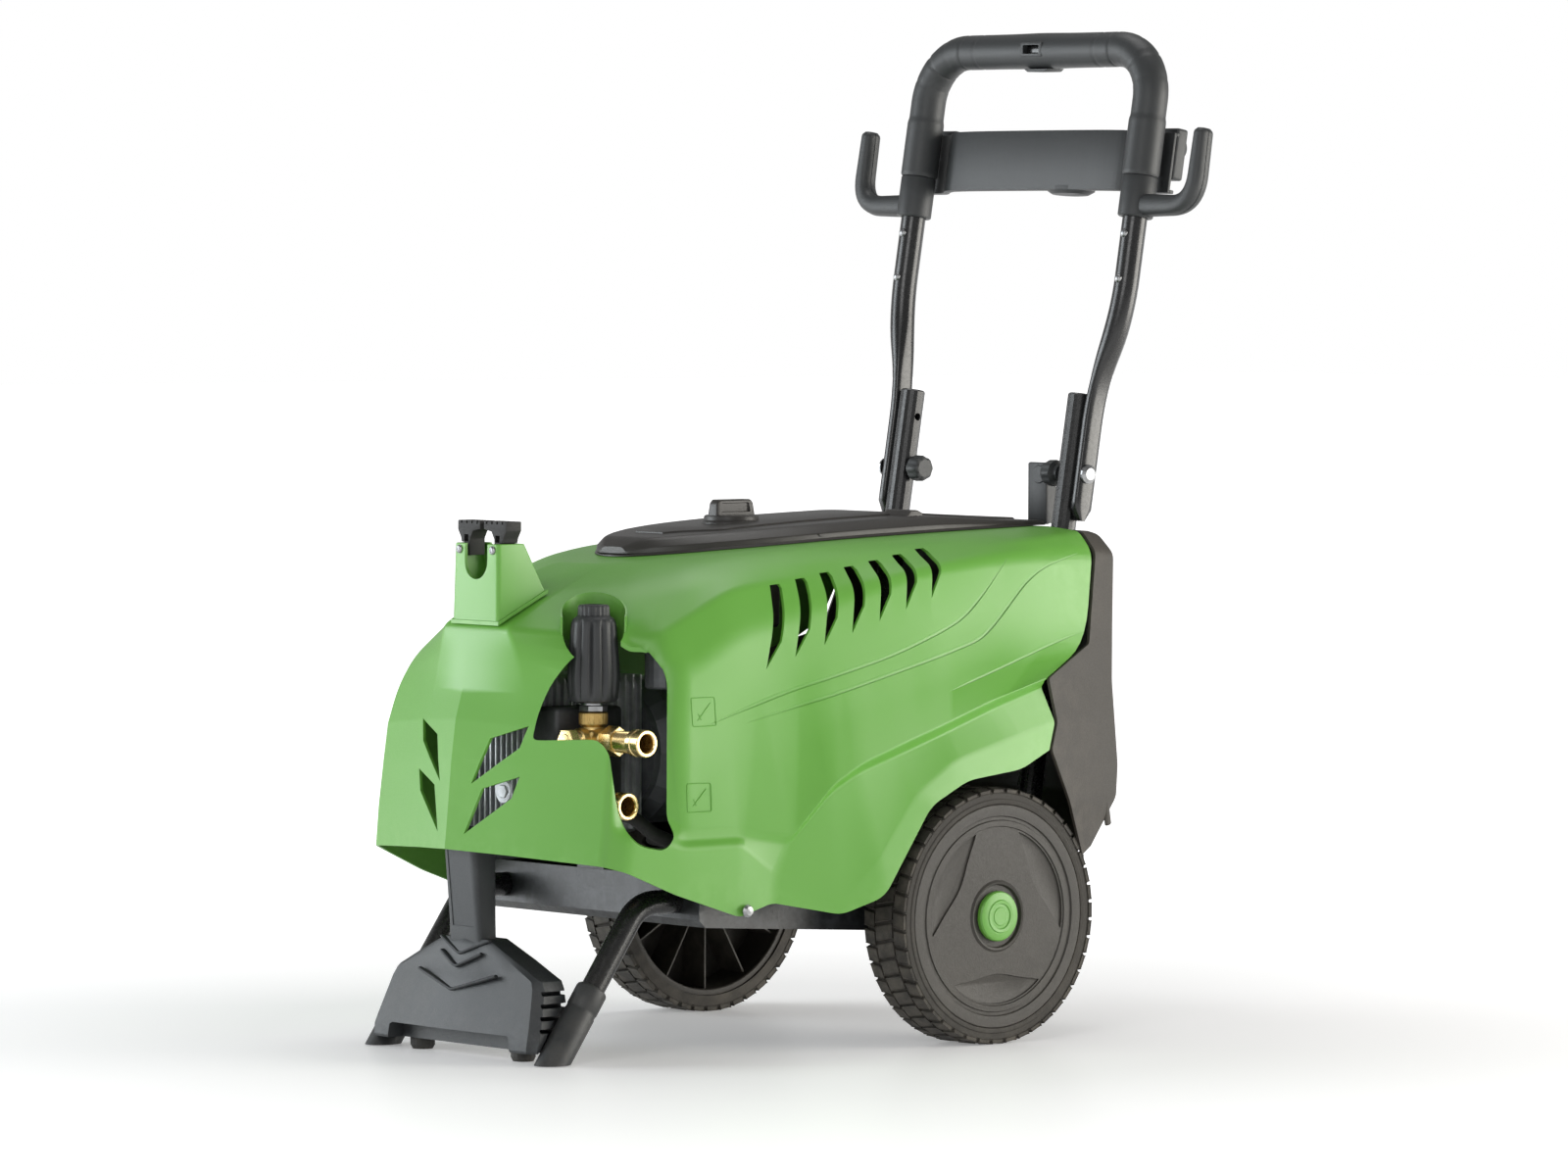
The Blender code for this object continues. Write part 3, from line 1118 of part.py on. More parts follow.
def build_pump():
    rear = MOTOR_FRONT_Y - GAP
    front = -0.432
    low, high = 0.205, 0.362
    case = place("pump_crankcase", box_mesh("pump_crankcase", (-0.046, front, low), (0.046, rear, high), 0.004),
                 cast_aluminium())
    well = rod_mesh("well", SHAFT_DIAMETER / 2 + RUN_GAP, rear - 0.056, rear + 0.01, 24, "Y")
    combine(case, cutter("pump_well", well, (0, 0, MOTOR_AXIS_Z)))
    head_x = 0.046 + GAP
    head = box_mesh("pump_head", (head_x, -0.428, 0.218), (UNLOADER_X - 0.0175, -0.345, KNOB_BOTTOM_Z - 0.006), 0.003)
    place("pump_head", head, cast_grey())
    build_unloader()
    inlet_start = UNLOADER_X - 0.0175 + GAP
    profile = [(NIPPLE_BORE, INLET_END_X), (NIPPLE_RADIUS, INLET_END_X), (NIPPLE_RADIUS, INLET_END_X - 0.018),
               (0.0105, INLET_END_X - 0.020), (0.0105, inlet_start + 0.016), (0.0155, inlet_start + 0.014),
               (0.0155, inlet_start), (NIPPLE_BORE, inlet_start)]
    mesh = turned_mesh("inlet_nipple", profile, 20, "X")
    place("inlet_nipple", mesh, brass(), (0, UNLOADER_Y, INLET_Z))
    can = rod_mesh("capacitor", 0.0185, 0.352, 0.412, 20, "Z", 0.002)
    place("capacitor", can, motor_grey(), (0.120, -0.322, 0))
    points = [Vector((UNLOADER_X - 0.0175 + GAP, -0.365, 0.232)), Vector((0.125, -0.365, 0.232)),
              Vector((0.136, -0.350, 0.215)), Vector((0.130, -0.318, 0.205)),
              Vector((MOTOR_RADIUS + 0.004, -0.300, 0.205))]
    path = rounded_path(points, 0.018, 3)
    rings = sweep_rings(path, lambda n: 0.0068, lambda n: 0.0068, Vector((0, 0, 1)), 10)
    place("bypass_hose", loft_mesh("bypass_hose", rings), soft_rubber())


def build_unloader():
    """Brass pressure regulator with its outlet, end plug, lock nut and hand knob."""
    x, y, z = UNLOADER_X, UNLOADER_Y, OUTLET_Z
    stem_top = KNOB_BOTTOM_Z - 0.0095
    profile = [(0.0044, stem_top), (0.0138, stem_top), (0.0138, stem_top - 0.012), (0.0125, stem_top - 0.0135),
               (0.0125, z - 0.014), (0.0, z - 0.014), (0.0, stem_top - 0.03), (0.0044, stem_top - 0.03)]
    bm_mesh = turned_z_closed("unloader_body", profile, 20)
    body = place("unloader_body", bm_mesh, brass(), (x, y, 0))
    lug = rod_mesh("lug", 0.0122, -0.0168, 0.0215, 16, "X", 0.001)
    combine(body, cutter("unloader_lug", lug, (x, y, z)), "UNION")
    front = rod_mesh("front", 0.0116, -0.021, -0.002, 14, "Y")
    combine(body, cutter("unloader_front", front, (x, y, z)), "UNION")
    out = rod_mesh("out", NIPPLE_BORE, 0.0095, 0.04, 16, "X")
    combine(body, cutter("unloader_out", out, (x, y, z)))
    start = x + 0.0215 + GAP
    nipple = [(NIPPLE_BORE, OUTLET_END_X), (NIPPLE_RADIUS, OUTLET_END_X), (NIPPLE_RADIUS, OUTLET_END_X - 0.019),
              (0.0108, OUTLET_END_X - 0.021), (0.0108, start + 0.019), (0.0148, start + 0.017),
              (0.0148, start), (NIPPLE_BORE, start)]
    place("outlet_nipple", turned_mesh("outlet_nipple", nipple, 20, "X"), brass(), (0, y, z))
    plug = hexagon_mesh("unloader_plug", 0.021, 0.0, 0.0135, "Y")
    place("unloader_plug", plug, brass(), (x, y - 0.021 - GAP, z), (0, 0, math.pi))
    nut = turned_mesh("unloader_nut", [(0.0046, stem_top + 0.0088), (0.0138, stem_top + 0.0088),
                                       (0.0138, stem_top + GAP), (0.0046, stem_top + GAP)], 6)
    place("unloader_nut", nut, steel(), (x, y, 0))
    radius = KNOB_RADIUS
    bottom, top = KNOB_BOTTOM_Z, KNOB_TOP_Z
    height = top - bottom
    knob = [(0, top), (0.0085, top), (0.0095, top - 0.004), (0.0100, top - 0.010), (radius * 0.76, top - 0.011),
            (radius * 0.86, top - 0.018), (radius, bottom + height * 0.26), (radius * 0.94, bottom),
            (0.0036, bottom), (0.0026, bottom - 0.022), (0, bottom - 0.022)]
    place("pressure_knob", turned_mesh("pressure_knob", knob, 24), black(), (x, y, 0))


def turned_z_closed(name, profile, segments):
    """A turned solid about Z whose profile is a closed loop that may touch the axis."""
    bm = bmesh.new()
    ring = [bm.verts.new((radius, 0, height)) for radius, height in profile]
    edges = []
    for first, second in zip(range(len(ring)), list(range(1, len(ring))) + [0]):
        if profile[first][0] > 0 or profile[second][0] > 0:
            edges.append(bm.edges.new((ring[first], ring[second])))
    bmesh.ops.spin(bm, geom=ring + edges, cent=(0, 0, 0), axis=(0, 0, 1), angle=2 * math.pi,
                   steps=segments, use_merge=True)
    bmesh.ops.remove_doubles(bm, verts=bm.verts, dist=1e-6)
    return to_mesh(name, bm)


def build():
    clear_scene()
    frame = bpy.data.objects.new("machine", None)
    bpy.context.scene.collection.objects.link(frame)
    frame.location = (0, AXLE_Y, 0)
    build_tray()
    build_wheels()
    build_foot()
    build_rubber_feet()
    build_stand_tubes()
    build_motor()
    build_pump()
    build_hood()
    build_hood_screws()
    build_rear_panel()
    build_cable_gland()
    build_top_panel()
    build_switch()
    build_lance_holder()
    build_holder_fittings()
    build_frame_tubes()
    build_handle_tube()
    build_rivets()
    build_grip()
    build_hooks()
    build_band()
    build_pivots()
    build_hose_bracket()


build()
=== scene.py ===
"""Portable electric pressure washer: finishes, finer pieces, floor, light and camera.

Units are metres and +Z is up.  Places are written in the machine's own frame, whose Y = 0 is the wheel
axle; set_down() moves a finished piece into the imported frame.
"""
import math

import bmesh
import bpy
from mathutils import Matrix, Vector
from mathutils.bvhtree import BVHTree


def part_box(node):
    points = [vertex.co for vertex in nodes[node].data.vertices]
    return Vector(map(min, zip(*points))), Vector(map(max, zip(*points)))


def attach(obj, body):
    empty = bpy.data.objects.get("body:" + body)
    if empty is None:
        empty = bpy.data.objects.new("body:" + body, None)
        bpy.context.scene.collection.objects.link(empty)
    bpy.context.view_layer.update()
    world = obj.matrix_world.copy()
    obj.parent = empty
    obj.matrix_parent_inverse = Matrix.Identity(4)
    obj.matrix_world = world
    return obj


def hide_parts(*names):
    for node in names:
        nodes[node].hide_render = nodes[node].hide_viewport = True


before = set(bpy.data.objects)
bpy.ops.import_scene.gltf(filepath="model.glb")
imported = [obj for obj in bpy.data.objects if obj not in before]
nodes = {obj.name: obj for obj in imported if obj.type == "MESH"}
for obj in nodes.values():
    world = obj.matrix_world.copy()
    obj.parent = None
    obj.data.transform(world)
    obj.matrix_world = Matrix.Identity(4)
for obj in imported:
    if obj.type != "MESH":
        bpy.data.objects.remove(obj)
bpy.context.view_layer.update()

axle_low, axle_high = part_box("axle")
AXLE_Y = (axle_low.y + axle_high.y) / 2
AXLE_Z = (axle_low.z + axle_high.z) / 2
SIDES = (("left", -1), ("right", 1))
LEAN = math.radians(9.6)
PIVOT_Y, PIVOT_Z = 0.2014, 0.5497
WHEEL_R, WHEEL_W, WHEEL_X, TYRE_H = 0.125, 0.0554, 0.2434, 0.0155
LUGS_ROUND = 44
PLASTIC_WALL = 0.003
REG_X, REG_Y, OUT_Z, IN_Z = 0.105, -0.397, 0.305, 0.244
KNOB_LOW, KNOB_HIGH, KNOB_WELL_R = 0.341, 0.434, 0.0302
FRAME_TUBE_X = 0.1255
RIGHT = Vector((1, 0, 0))
REARWARD = Vector((0, 1, 0))
RISE = Vector((0, 0, 1))


# ---------------------------------------------------------------- small tools
def to_linear(red, green, blue):
    """A colour given in 0-255 steps, as light."""
    def light(step):
        share = step / 255
        return share / 12.92 if share <= 0.04045 else ((share + 0.055) / 1.055) ** 2.4
    return (light(red), light(green), light(blue), 1.0)


def mix(start, end, share):
    """The value at a share of the way from start to end."""
    return start + (end - start) * share


def eased(share):
    """A share from 0 to 1 that starts and stops gently."""
    share = max(0.0, min(1.0, share))
    return share * share * (3 - 2 * share)


def as_mesh(name, bm):
    """The shape as a mesh; the bmesh is used up."""
    mesh = bpy.data.meshes.new(name)
    bm.to_mesh(mesh)
    bm.free()
    return mesh


def linked(name, data):
    """A new object in the scene."""
    made = bpy.data.objects.new(name, data)
    bpy.context.scene.collection.objects.link(made)
    return made


def set_down(name, bm, finish, body, stands_for=(), sharp=40, right_way=False):
    """Turn a bmesh into a piece of the machine, in its place, riding on its body."""
    if not right_way:
        bmesh.ops.remove_doubles(bm, verts=bm.verts, dist=2e-6)
        bmesh.ops.recalc_face_normals(bm, faces=bm.faces)
    bmesh.ops.translate(bm, vec=(0, AXLE_Y, 0), verts=bm.verts)
    mesh = as_mesh(name, bm)
    mesh.shade_smooth()
    mesh.set_sharp_from_angle(angle=math.radians(sharp))
    piece = linked(name, mesh)
    mesh.materials.append(finish)
    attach(piece, body)
    if stands_for:
        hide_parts(*stands_for)
    return piece


def drape(rows, closed=False, ends=False):
    """A grid of faces laid over rows of points; closed joins each row's end to its start."""
    bm = bmesh.new()
    wide = len(rows[0]) + (1 if closed else 0)
    bmesh.ops.create_grid(bm, x_segments=wide - 1, y_segments=len(rows) - 1, size=1.0)
    bm.verts.ensure_lookup_table()
    for number, row in enumerate(rows):
        for step in range(wide):
            bm.verts[number * wide + step].co = row[step % len(row)]
    bmesh.ops.remove_doubles(bm, verts=bm.verts, dist=2e-6)
    if ends:
        bmesh.ops.holes_fill(bm, edges=bm.edges, sides=0)
    bmesh.ops.recalc_face_normals(bm, faces=bm.faces)
    return bm


def soften(bm, edges, width, segments=2):
    """Round some edges of a shape."""
    bmesh.ops.bevel(bm, geom=edges, offset=width, segments=segments, profile=0.5, affect="EDGES",
                    material=-1)


def turn_about(bm, angle, axis):
    """Turn a shape about an axis through the origin."""
    bmesh.ops.rotate(bm, verts=bm.verts, matrix=Matrix.Rotation(angle, 3, axis))
    return bm


def round_about(make, count, axis):
    """The same small shape set evenly round an axis."""
    return [turn_about(make(), 2 * math.pi * number / count, axis) for number in range(count)]


def turned(profile, steps, axis="Z", center=(0, 0, 0)):
    """A shape turned about an axis from (radius, height) points."""
    bm = bmesh.new()
    ring = [bm.verts.new((radius, 0, height)) for radius, height in profile]
    edges = [bm.edges.new(pair) for pair in zip(ring, ring[1:])]
    bmesh.ops.spin(bm, geom=ring + edges, cent=(0, 0, 0), axis=(0, 0, 1), angle=2 * math.pi,
                   steps=steps, use_merge=True)
    bmesh.ops.remove_doubles(bm, verts=bm.verts, dist=2e-6)
    if axis == "X":
        turn_about(bm, math.pi / 2, "Y")
    if axis == "Y":
        turn_about(bm, -math.pi / 2, "X")
    bmesh.ops.recalc_face_normals(bm, faces=bm.faces)
    bmesh.ops.translate(bm, vec=center, verts=bm.verts)
    return bm


def rod(radius, start, end, steps, axis="Z", center=(0, 0, 0)):
    """A plain round bar, mostly used to cut holes."""
    return turned([(0, start), (radius, start), (radius, end), (0, end)], steps, axis, center)


def block(low, high, edge=0.0, segments=2):
    """A box between two corners with softened edges."""
    bm = bmesh.new()
    bmesh.ops.create_cube(bm, size=1.0)
    low, high = Vector(low), Vector(high)
    bmesh.ops.scale(bm, vec=high - low, verts=bm.verts)
    bmesh.ops.translate(bm, vec=(high + low) / 2, verts=bm.verts)
    if edge:
        soften(bm, bm.edges[:], edge, segments)
    return bm


def thicken(bm, face, step):
    """Push one face along a step, leaving walls behind it."""
    grown = bmesh.ops.extrude_face_region(bm, geom=[face])["geom"]
    bmesh.ops.translate(bm, vec=step, verts=[g for g in grown if isinstance(g, bmesh.types.BMVert)])
    bmesh.ops.recalc_face_normals(bm, faces=bm.faces)


def pushed(outline, start, end, axis="X", edge=0.0, segments=2):
    """An outline pushed along an axis: (Y, Z) for X, (X, Z) for Y, (X, Y) for Z."""
    lay = {"X": lambda a, b: (start, a, b), "Y": lambda a, b: (a, start, b),
           "Z": lambda a, b: (a, b, start)}[axis]
    bm = bmesh.new()
    face = bm.faces.new([bm.verts.new(lay(a, b)) for a, b in outline])
    step = {"X": (end - start, 0, 0), "Y": (0, end - start, 0), "Z": (0, 0, end - start)}[axis]
    thicken(bm, face, step)
    if edge:
        soften(bm, bm.edges[:], edge, segments)
    return bm


def moved(bm, offset):
    """Shift a shape."""
    bmesh.ops.translate(bm, vec=offset, verts=bm.verts)
    return bm


def joined(*shapes):
    """Several shapes as one bmesh."""
    whole = bmesh.new()
    for shape in shapes:
        part = as_mesh("part", shape)
        whole.from_mesh(part)
        bpy.data.meshes.remove(part)
    return whole


def carved(shape, tools, operation="DIFFERENCE"):
    """The shape after each tool has been cut out of it, or joined to it."""
    target = linked("carving", as_mesh("carving", shape))
    helpers = []
    for tool in tools:
        helper = linked("carving", as_mesh("carving", tool))
        step = target.modifiers.new("carve", "BOOLEAN")
        step.operation, step.object, step.solver = operation, helper, "EXACT"
        helpers.append(helper)
    result = bmesh.new()
    result.from_object(target, bpy.context.evaluated_depsgraph_get())
    for item in [target] + helpers:
        bpy.data.objects.remove(item, do_unlink=True)
    return result


def rounded(points, radii, steps=4):
    """A path with each corner turned into an arc; every corner always gives steps + 1 points."""
    if not isinstance(radii, (list, tuple)):
        radii = [radii] * (len(points) - 2)
    path = [points[0].copy()]
    for before, corner, after, radius in zip(points, points[1:], points[2:], radii):
        back, ahead = before - corner, after - corner
        reach = min(radius, 0.46 * back.length, 0.46 * ahead.length)
        first = corner + back.normalized() * reach
        last = corner + ahead.normalized() * reach
        for step in range(steps + 1):
            t = step / steps
            path.append(first.lerp(corner, t).lerp(corner.lerp(last, t), t))
    path.append(points[-1].copy())
    return path


def stretched(path, spacing):
    """The same path with points added where two of them are far apart."""
    full = [path[0]]
    for before, after in zip(path, path[1:]):
        count = max(1, round((after - before).length / spacing))
        full += [before.lerp(after, step / count) for step in range(1, count + 1)]
    return full


def ring_at(center, across, back, half_a, half_b, count, power=2.0):
    """An oval or squarish ring of points round a centre."""
    points = []
    for step in range(count):
        angle = 2 * math.pi * step / count
        c, s = math.cos(angle), math.sin(angle)
        c = math.copysign(abs(c) ** (2 / power), c)
        s = math.copysign(abs(s) ** (2 / power), s)
        points.append(center + across * (half_a * c) + back * (half_b * s))
    return points


def sweep(path, half_a, half_b, side, count=20, power=2.0, ends=True, domed=0.0):
    """A tube along a path; half_a and half_b give its half sizes at a share of the length."""
    lengths = [0.0]
    for before, after in zip(path, path[1:]):
        lengths.append(lengths[-1] + (after - before).length)
    total = lengths[-1]
    rings = []
    for number, point in enumerate(path):
        before, after = path[max(number - 1, 0)], path[min(number + 1, len(path) - 1)]
        along = (after - before).normalized()
        across = (side - along * side.dot(along)).normalized()
        share = lengths[number] / total
        sizes = (half_a(share) if callable(half_a) else half_a, half_b(share) if callable(half_b) else half_b)
        rings.append((point, along, across, along.cross(across), *sizes))

    def dome(ring, outward):
        """Three shrinking rings past one end of the tube."""
        point, along, across, back, a, b = ring
        for part in (0.88, 0.6, 0.25):
            grow = math.sqrt(1 - (1 - part) ** 2)
            yield ring_at(point + along * (outward * domed * (1 - part)), across, back, a * grow, b * grow,
                          count, power)

    rows = list(dome(rings[0], -1))[::-1] if domed else []
    rows += [ring_at(point, across, back, a, b, count, power) for point, _, across, back, a, b in rings]
    rows += dome(rings[-1], 1) if domed else []
    return drape(rows, closed=True, ends=ends)


def both_halves(bm, outer_axis):
    """Mirror a half skin across the machine, its faces looking outward at the far end of an axis."""
    bmesh.ops.mirror(bm, geom=bm.verts[:] + bm.edges[:] + bm.faces[:], axis="X", merge_dist=1e-5)
    bmesh.ops.remove_doubles(bm, verts=bm.verts, dist=1e-5)
    bmesh.ops.dissolve_degenerate(bm, edges=bm.edges, dist=1e-6)
    bmesh.ops.recalc_face_normals(bm, faces=bm.faces)
    if max(bm.faces, key=lambda face: face.calc_center_median()[outer_axis]).normal[outer_axis] < 0:
        bmesh.ops.reverse_faces(bm, faces=bm.faces)
    return bm


def walled(skin):
    """A skin given an even plastic wall on its inside."""
    shell = linked("skin", as_mesh("skin", skin))
    wall = shell.modifiers.new("wall", "SOLIDIFY")
    wall.thickness, wall.offset = PLASTIC_WALL, -1.0
    solid = bmesh.new()
    solid.from_object(shell, bpy.context.evaluated_depsgraph_get())
    bpy.data.objects.remove(shell, do_unlink=True)
    return solid


# ---------------------------------------------------------------- shared surface effects
def new_group(name, inputs, outputs):
    """An empty shader node group with its inputs and outputs."""
    group = bpy.data.node_groups.new(name, "ShaderNodeTree")
    for label, kind, value in inputs:
        made = group.interface.new_socket(label, in_out="INPUT", socket_type=kind)
        made.default_value = value
    for label, kind in outputs:
        group.interface.new_socket(label, in_out="OUTPUT", socket_type=kind)
    start = group.nodes.new("NodeGroupInput")
    end = group.nodes.new("NodeGroupOutput")
    return group, start, end


def add_node(tree, kind, **settings):
    """A node with its settings."""
    made = tree.nodes.new(kind)
    for label, value in settings.items():
        setattr(made, label, value)
    return made


def noise(tree, source, scale, detail=3.0, rough=0.5):
    """Soft noise from a place."""
    made = add_node(tree, "ShaderNodeTexNoise")
    tree.links.new(source, made.inputs["Vector"])
    made.inputs["Scale"].default_value = scale
    made.inputs["Detail"].default_value = detail
    made.inputs["Roughness"].default_value = rough
    return made.outputs["Fac"]


def remap(tree, value, low, high, new_low, new_high):
    """A value moved from one range to another."""
    made = add_node(tree, "ShaderNodeMapRange")
    tree.links.new(value, made.inputs["Value"])
    for label, number in (("From Min", low), ("From Max", high), ("To Min", new_low), ("To Max", new_high)):
        if hasattr(number, "links"):
            tree.links.new(number, made.inputs[label])
        else:
            made.inputs[label].default_value = number
    return made.outputs["Result"]


def arith(tree, operation, first, second):
    """One sum on two values or sockets."""
    made = add_node(tree, "ShaderNodeMath", operation=operation)
    for place, value in enumerate((first, second)):
        if hasattr(value, "links"):
            tree.links.new(value, made.inputs[place])
        else:
            made.inputs[place].default_value = value
    return made.outputs[0]


def tint(tree, share, first, second, blend="MIX"):
    """Two colours mixed."""
    made = add_node(tree, "ShaderNodeMix", data_type="RGBA", blend_type=blend)
    for label, value in ((0, share), (6, first), (7, second)):
        if hasattr(value, "links"):
            tree.links.new(value, made.inputs[label])
        else:
            made.inputs[label].default_value = value
    return made.outputs[2]


def grain_group():
    """Fine moulded or cast grain with slow cloudiness: colour, roughness and height."""
    group, start, end = new_group(
        "surface_grain",
        [("Colour", "NodeSocketColor", (0.5, 0.5, 0.5, 1)), ("Cloud Colour", "NodeSocketColor",
                                                             (0.5, 0.5, 0.5, 1)),
         ("Grain Scale", "NodeSocketFloat", 900.0), ("Cloud Scale", "NodeSocketFloat", 6.0),
         ("Cloud Amount", "NodeSocketFloat", 0.5), ("Roughness", "NodeSocketFloat", 0.5),
         ("Roughness Spread", "NodeSocketFloat", 0.08)],
        [("Colour", "NodeSocketColor"), ("Roughness", "NodeSocketFloat"), ("Height", "NodeSocketFloat")])
    where = add_node(group, "ShaderNodeTexCoord").outputs["Object"]
    fine = add_node(group, "ShaderNodeTexNoise")
    group.links.new(where, fine.inputs["Vector"])
    group.links.new(start.outputs["Grain Scale"], fine.inputs["Scale"])
    fine.inputs["Detail"].default_value = 4.0
    cloud = add_node(group, "ShaderNodeTexNoise")
    group.links.new(where, cloud.inputs["Vector"])
    group.links.new(start.outputs["Cloud Scale"], cloud.inputs["Scale"])
    cloud.inputs["Detail"].default_value = 5.0
    share = arith(group, "MULTIPLY", remap(group, cloud.outputs["Fac"], 0.35, 0.65, 0.0, 1.0),
                  start.outputs["Cloud Amount"])
    colour = tint(group, share, start.outputs["Colour"], start.outputs["Cloud Colour"])
    spread = arith(group, "MULTIPLY", remap(group, fine.outputs["Fac"], 0.3, 0.7, -1.0, 1.0),
                   start.outputs["Roughness Spread"])
    rough = arith(group, "ADD", start.outputs["Roughness"], spread)
    group.links.new(colour, end.inputs["Colour"])
    group.links.new(rough, end.inputs["Roughness"])
    group.links.new(fine.outputs["Fac"], end.inputs["Height"])
    return group


def wear_group():
    """Light rubbing on raised edges and a little dust in low places near the ground."""
    group, start, end = new_group(
        "edges_and_dust",
        [("Colour", "NodeSocketColor", (0.5, 0.5, 0.5, 1)), ("Roughness", "NodeSocketFloat", 0.5),
         ("Rubbed Colour", "NodeSocketColor", (0.6, 0.6, 0.6, 1)), ("Rubbed Amount", "NodeSocketFloat", 0.4),
         ("Dust Colour", "NodeSocketColor", (0.4, 0.36, 0.3, 1)), ("Dust Amount", "NodeSocketFloat", 0.1),
         ("Dust Height", "NodeSocketFloat", 0.15)],
        [("Colour", "NodeSocketColor"), ("Roughness", "NodeSocketFloat")])
    where = add_node(group, "ShaderNodeTexCoord").outputs["Object"]
    geometry = add_node(group, "ShaderNodeNewGeometry")
    edge = remap(group, geometry.outputs["Pointiness"], 0.53, 0.62, 0.0, 1.0)
    patchy = remap(group, noise(group, where, 55.0, 5.0, 0.6), 0.42, 0.62, 0.0, 1.0)
    rubbed = arith(group, "MULTIPLY", arith(group, "MULTIPLY", edge, patchy), start.outputs["Rubbed Amount"])
    colour = tint(group, rubbed, start.outputs["Colour"], start.outputs["Rubbed Colour"])
    split = add_node(group, "ShaderNodeSeparateXYZ")
    group.links.new(where, split.inputs[0])
    low = remap(group, split.outputs["Z"], 0.0, start.outputs["Dust Height"], 1.0, 0.0)
    dusty = arith(group, "MULTIPLY", remap(group, noise(group, where, 22.0, 6.0, 0.65), 0.4, 0.7, 0.0, 1.0),
                  low)
    dusty = arith(group, "MULTIPLY", dusty, start.outputs["Dust Amount"])
    colour = tint(group, dusty, colour, start.outputs["Dust Colour"])
    rough = arith(group, "ADD", start.outputs["Roughness"], arith(group, "MULTIPLY", dusty, 0.3))
    group.links.new(colour, end.inputs["Colour"])
    group.links.new(rough, end.inputs["Roughness"])
    return group


GRAIN = grain_group()
WEAR = wear_group()


def finish(name, colour, cloud_colour, roughness, grain=900.0, bump=0.15, depth=0.0002, metallic=0.0,
           cloud_scale=6.0, cloud=0.5, spread=0.07, rubbed=(128, 128, 128), rubbed_amount=0.3, dust=0.1,
           specular=0.5, coat=0.0, coat_rough=0.1):
    """A surface finish: grain, cloudiness, rubbed edges and dust over one Principled surface."""
    colour, cloud_colour, rubbed = (to_linear(*steps) for steps in (colour, cloud_colour, rubbed))
    made = bpy.data.materials.new(name)
    made.use_nodes = True
    tree = made.node_tree
    shader = tree.nodes["Principled BSDF"]
    skin = add_node(tree, "ShaderNodeGroup", node_tree=GRAIN)
    for label, value in (("Colour", colour), ("Cloud Colour", cloud_colour), ("Grain Scale", grain),
                         ("Cloud Scale", cloud_scale), ("Cloud Amount", cloud), ("Roughness", roughness),
                         ("Roughness Spread", spread)):
        skin.inputs[label].default_value = value
    worn = add_node(tree, "ShaderNodeGroup", node_tree=WEAR)
    tree.links.new(skin.outputs["Colour"], worn.inputs["Colour"])
    tree.links.new(skin.outputs["Roughness"], worn.inputs["Roughness"])
    worn.inputs["Rubbed Colour"].default_value = rubbed
    worn.inputs["Rubbed Amount"].default_value = rubbed_amount
    worn.inputs["Dust Amount"].default_value = dust
    bumps = add_node(tree, "ShaderNodeBump")
    bumps.inputs["Strength"].default_value = bump
    bumps.inputs["Distance"].default_value = depth
    tree.links.new(skin.outputs["Height"], bumps.inputs["Height"])
    tree.links.new(worn.outputs["Colour"], shader.inputs["Base Color"])
    tree.links.new(worn.outputs["Roughness"], shader.inputs["Roughness"])
    tree.links.new(bumps.outputs["Normal"], shader.inputs["Normal"])
    shader.inputs["Metallic"].default_value = metallic
    shader.inputs["Specular IOR Level"].default_value = specular
    if coat:
        shader.inputs["Coat Weight"].default_value = coat
        shader.inputs["Coat Roughness"].default_value = coat_rough
    return made


GREEN = finish("satin_green_plastic", (94, 156, 56), (100, 162, 62), 0.40, 1100.0, 0.10,
               rubbed=(140, 190, 108), rubbed_amount=0.18, dust=0.04, specular=0.6)
PANEL_BLACK = finish("panel_black_plastic", (42, 40, 37), (50, 47, 43), 0.44, 1000.0, 0.2,
                     rubbed=(84, 80, 74))
TEXTURED_BLACK = finish("warm_textured_plastic", (52, 48, 42), (60, 55, 48), 0.58, 700.0, 0.45,
                        0.0003, rubbed=(92, 86, 76))
SOFT_BLACK = finish("soft_grip_plastic", (40, 42, 43), (48, 50, 51), 0.50, 1300.0, 0.35,
                    rubbed=(80, 82, 84), rubbed_amount=0.2)
FOOT_GREY = finish("foot_grey_plastic", (38, 41, 43), (45, 48, 50), 0.50, 850.0, 0.35,
                   rubbed=(96, 100, 102), rubbed_amount=0.35, dust=0.06, cloud=0.3)
GLOSS_PAINT = finish("black_tube_paint", (16, 16, 17), (22, 22, 23), 0.27, 260.0, 0.06,
                     0.00015, rubbed=(70, 70, 70), rubbed_amount=0.2, specular=0.45, coat=0.15,
                     coat_rough=0.12)
CHASSIS_PAINT = finish("chassis_grey_paint", (26, 28, 30), (32, 34, 36), 0.36, 320.0, 0.12,
                       rubbed=(100, 104, 108))
TYRE_RUBBER = finish("tyre_rubber", (44, 41, 36), (56, 52, 46), 0.72, 520.0, 0.5, 0.0003,
                     cloud_scale=16.0, rubbed=(98, 92, 82), rubbed_amount=0.35, dust=0.10, cloud=0.3)
WHEEL_PLASTIC = finish("wheel_plastic", (46, 43, 38), (55, 51, 45), 0.55, 620.0, 0.4, 0.0003,
                       rubbed=(88, 83, 74), rubbed_amount=0.35, dust=0.06, cloud=0.3)
DARK_RUBBER = finish("dark_rubber", (28, 28, 27), (38, 37, 36), 0.68, 760.0, 0.4,
                     rubbed=(70, 69, 66))
BRASS = finish("cast_brass", (208, 180, 118), (176, 144, 84), 0.36, 1400.0, 0.55, 0.0003, 1.0,
               cloud_scale=42.0, cloud=0.55, spread=0.12, rubbed=(240, 214, 150), rubbed_amount=0.7, dust=0.0)
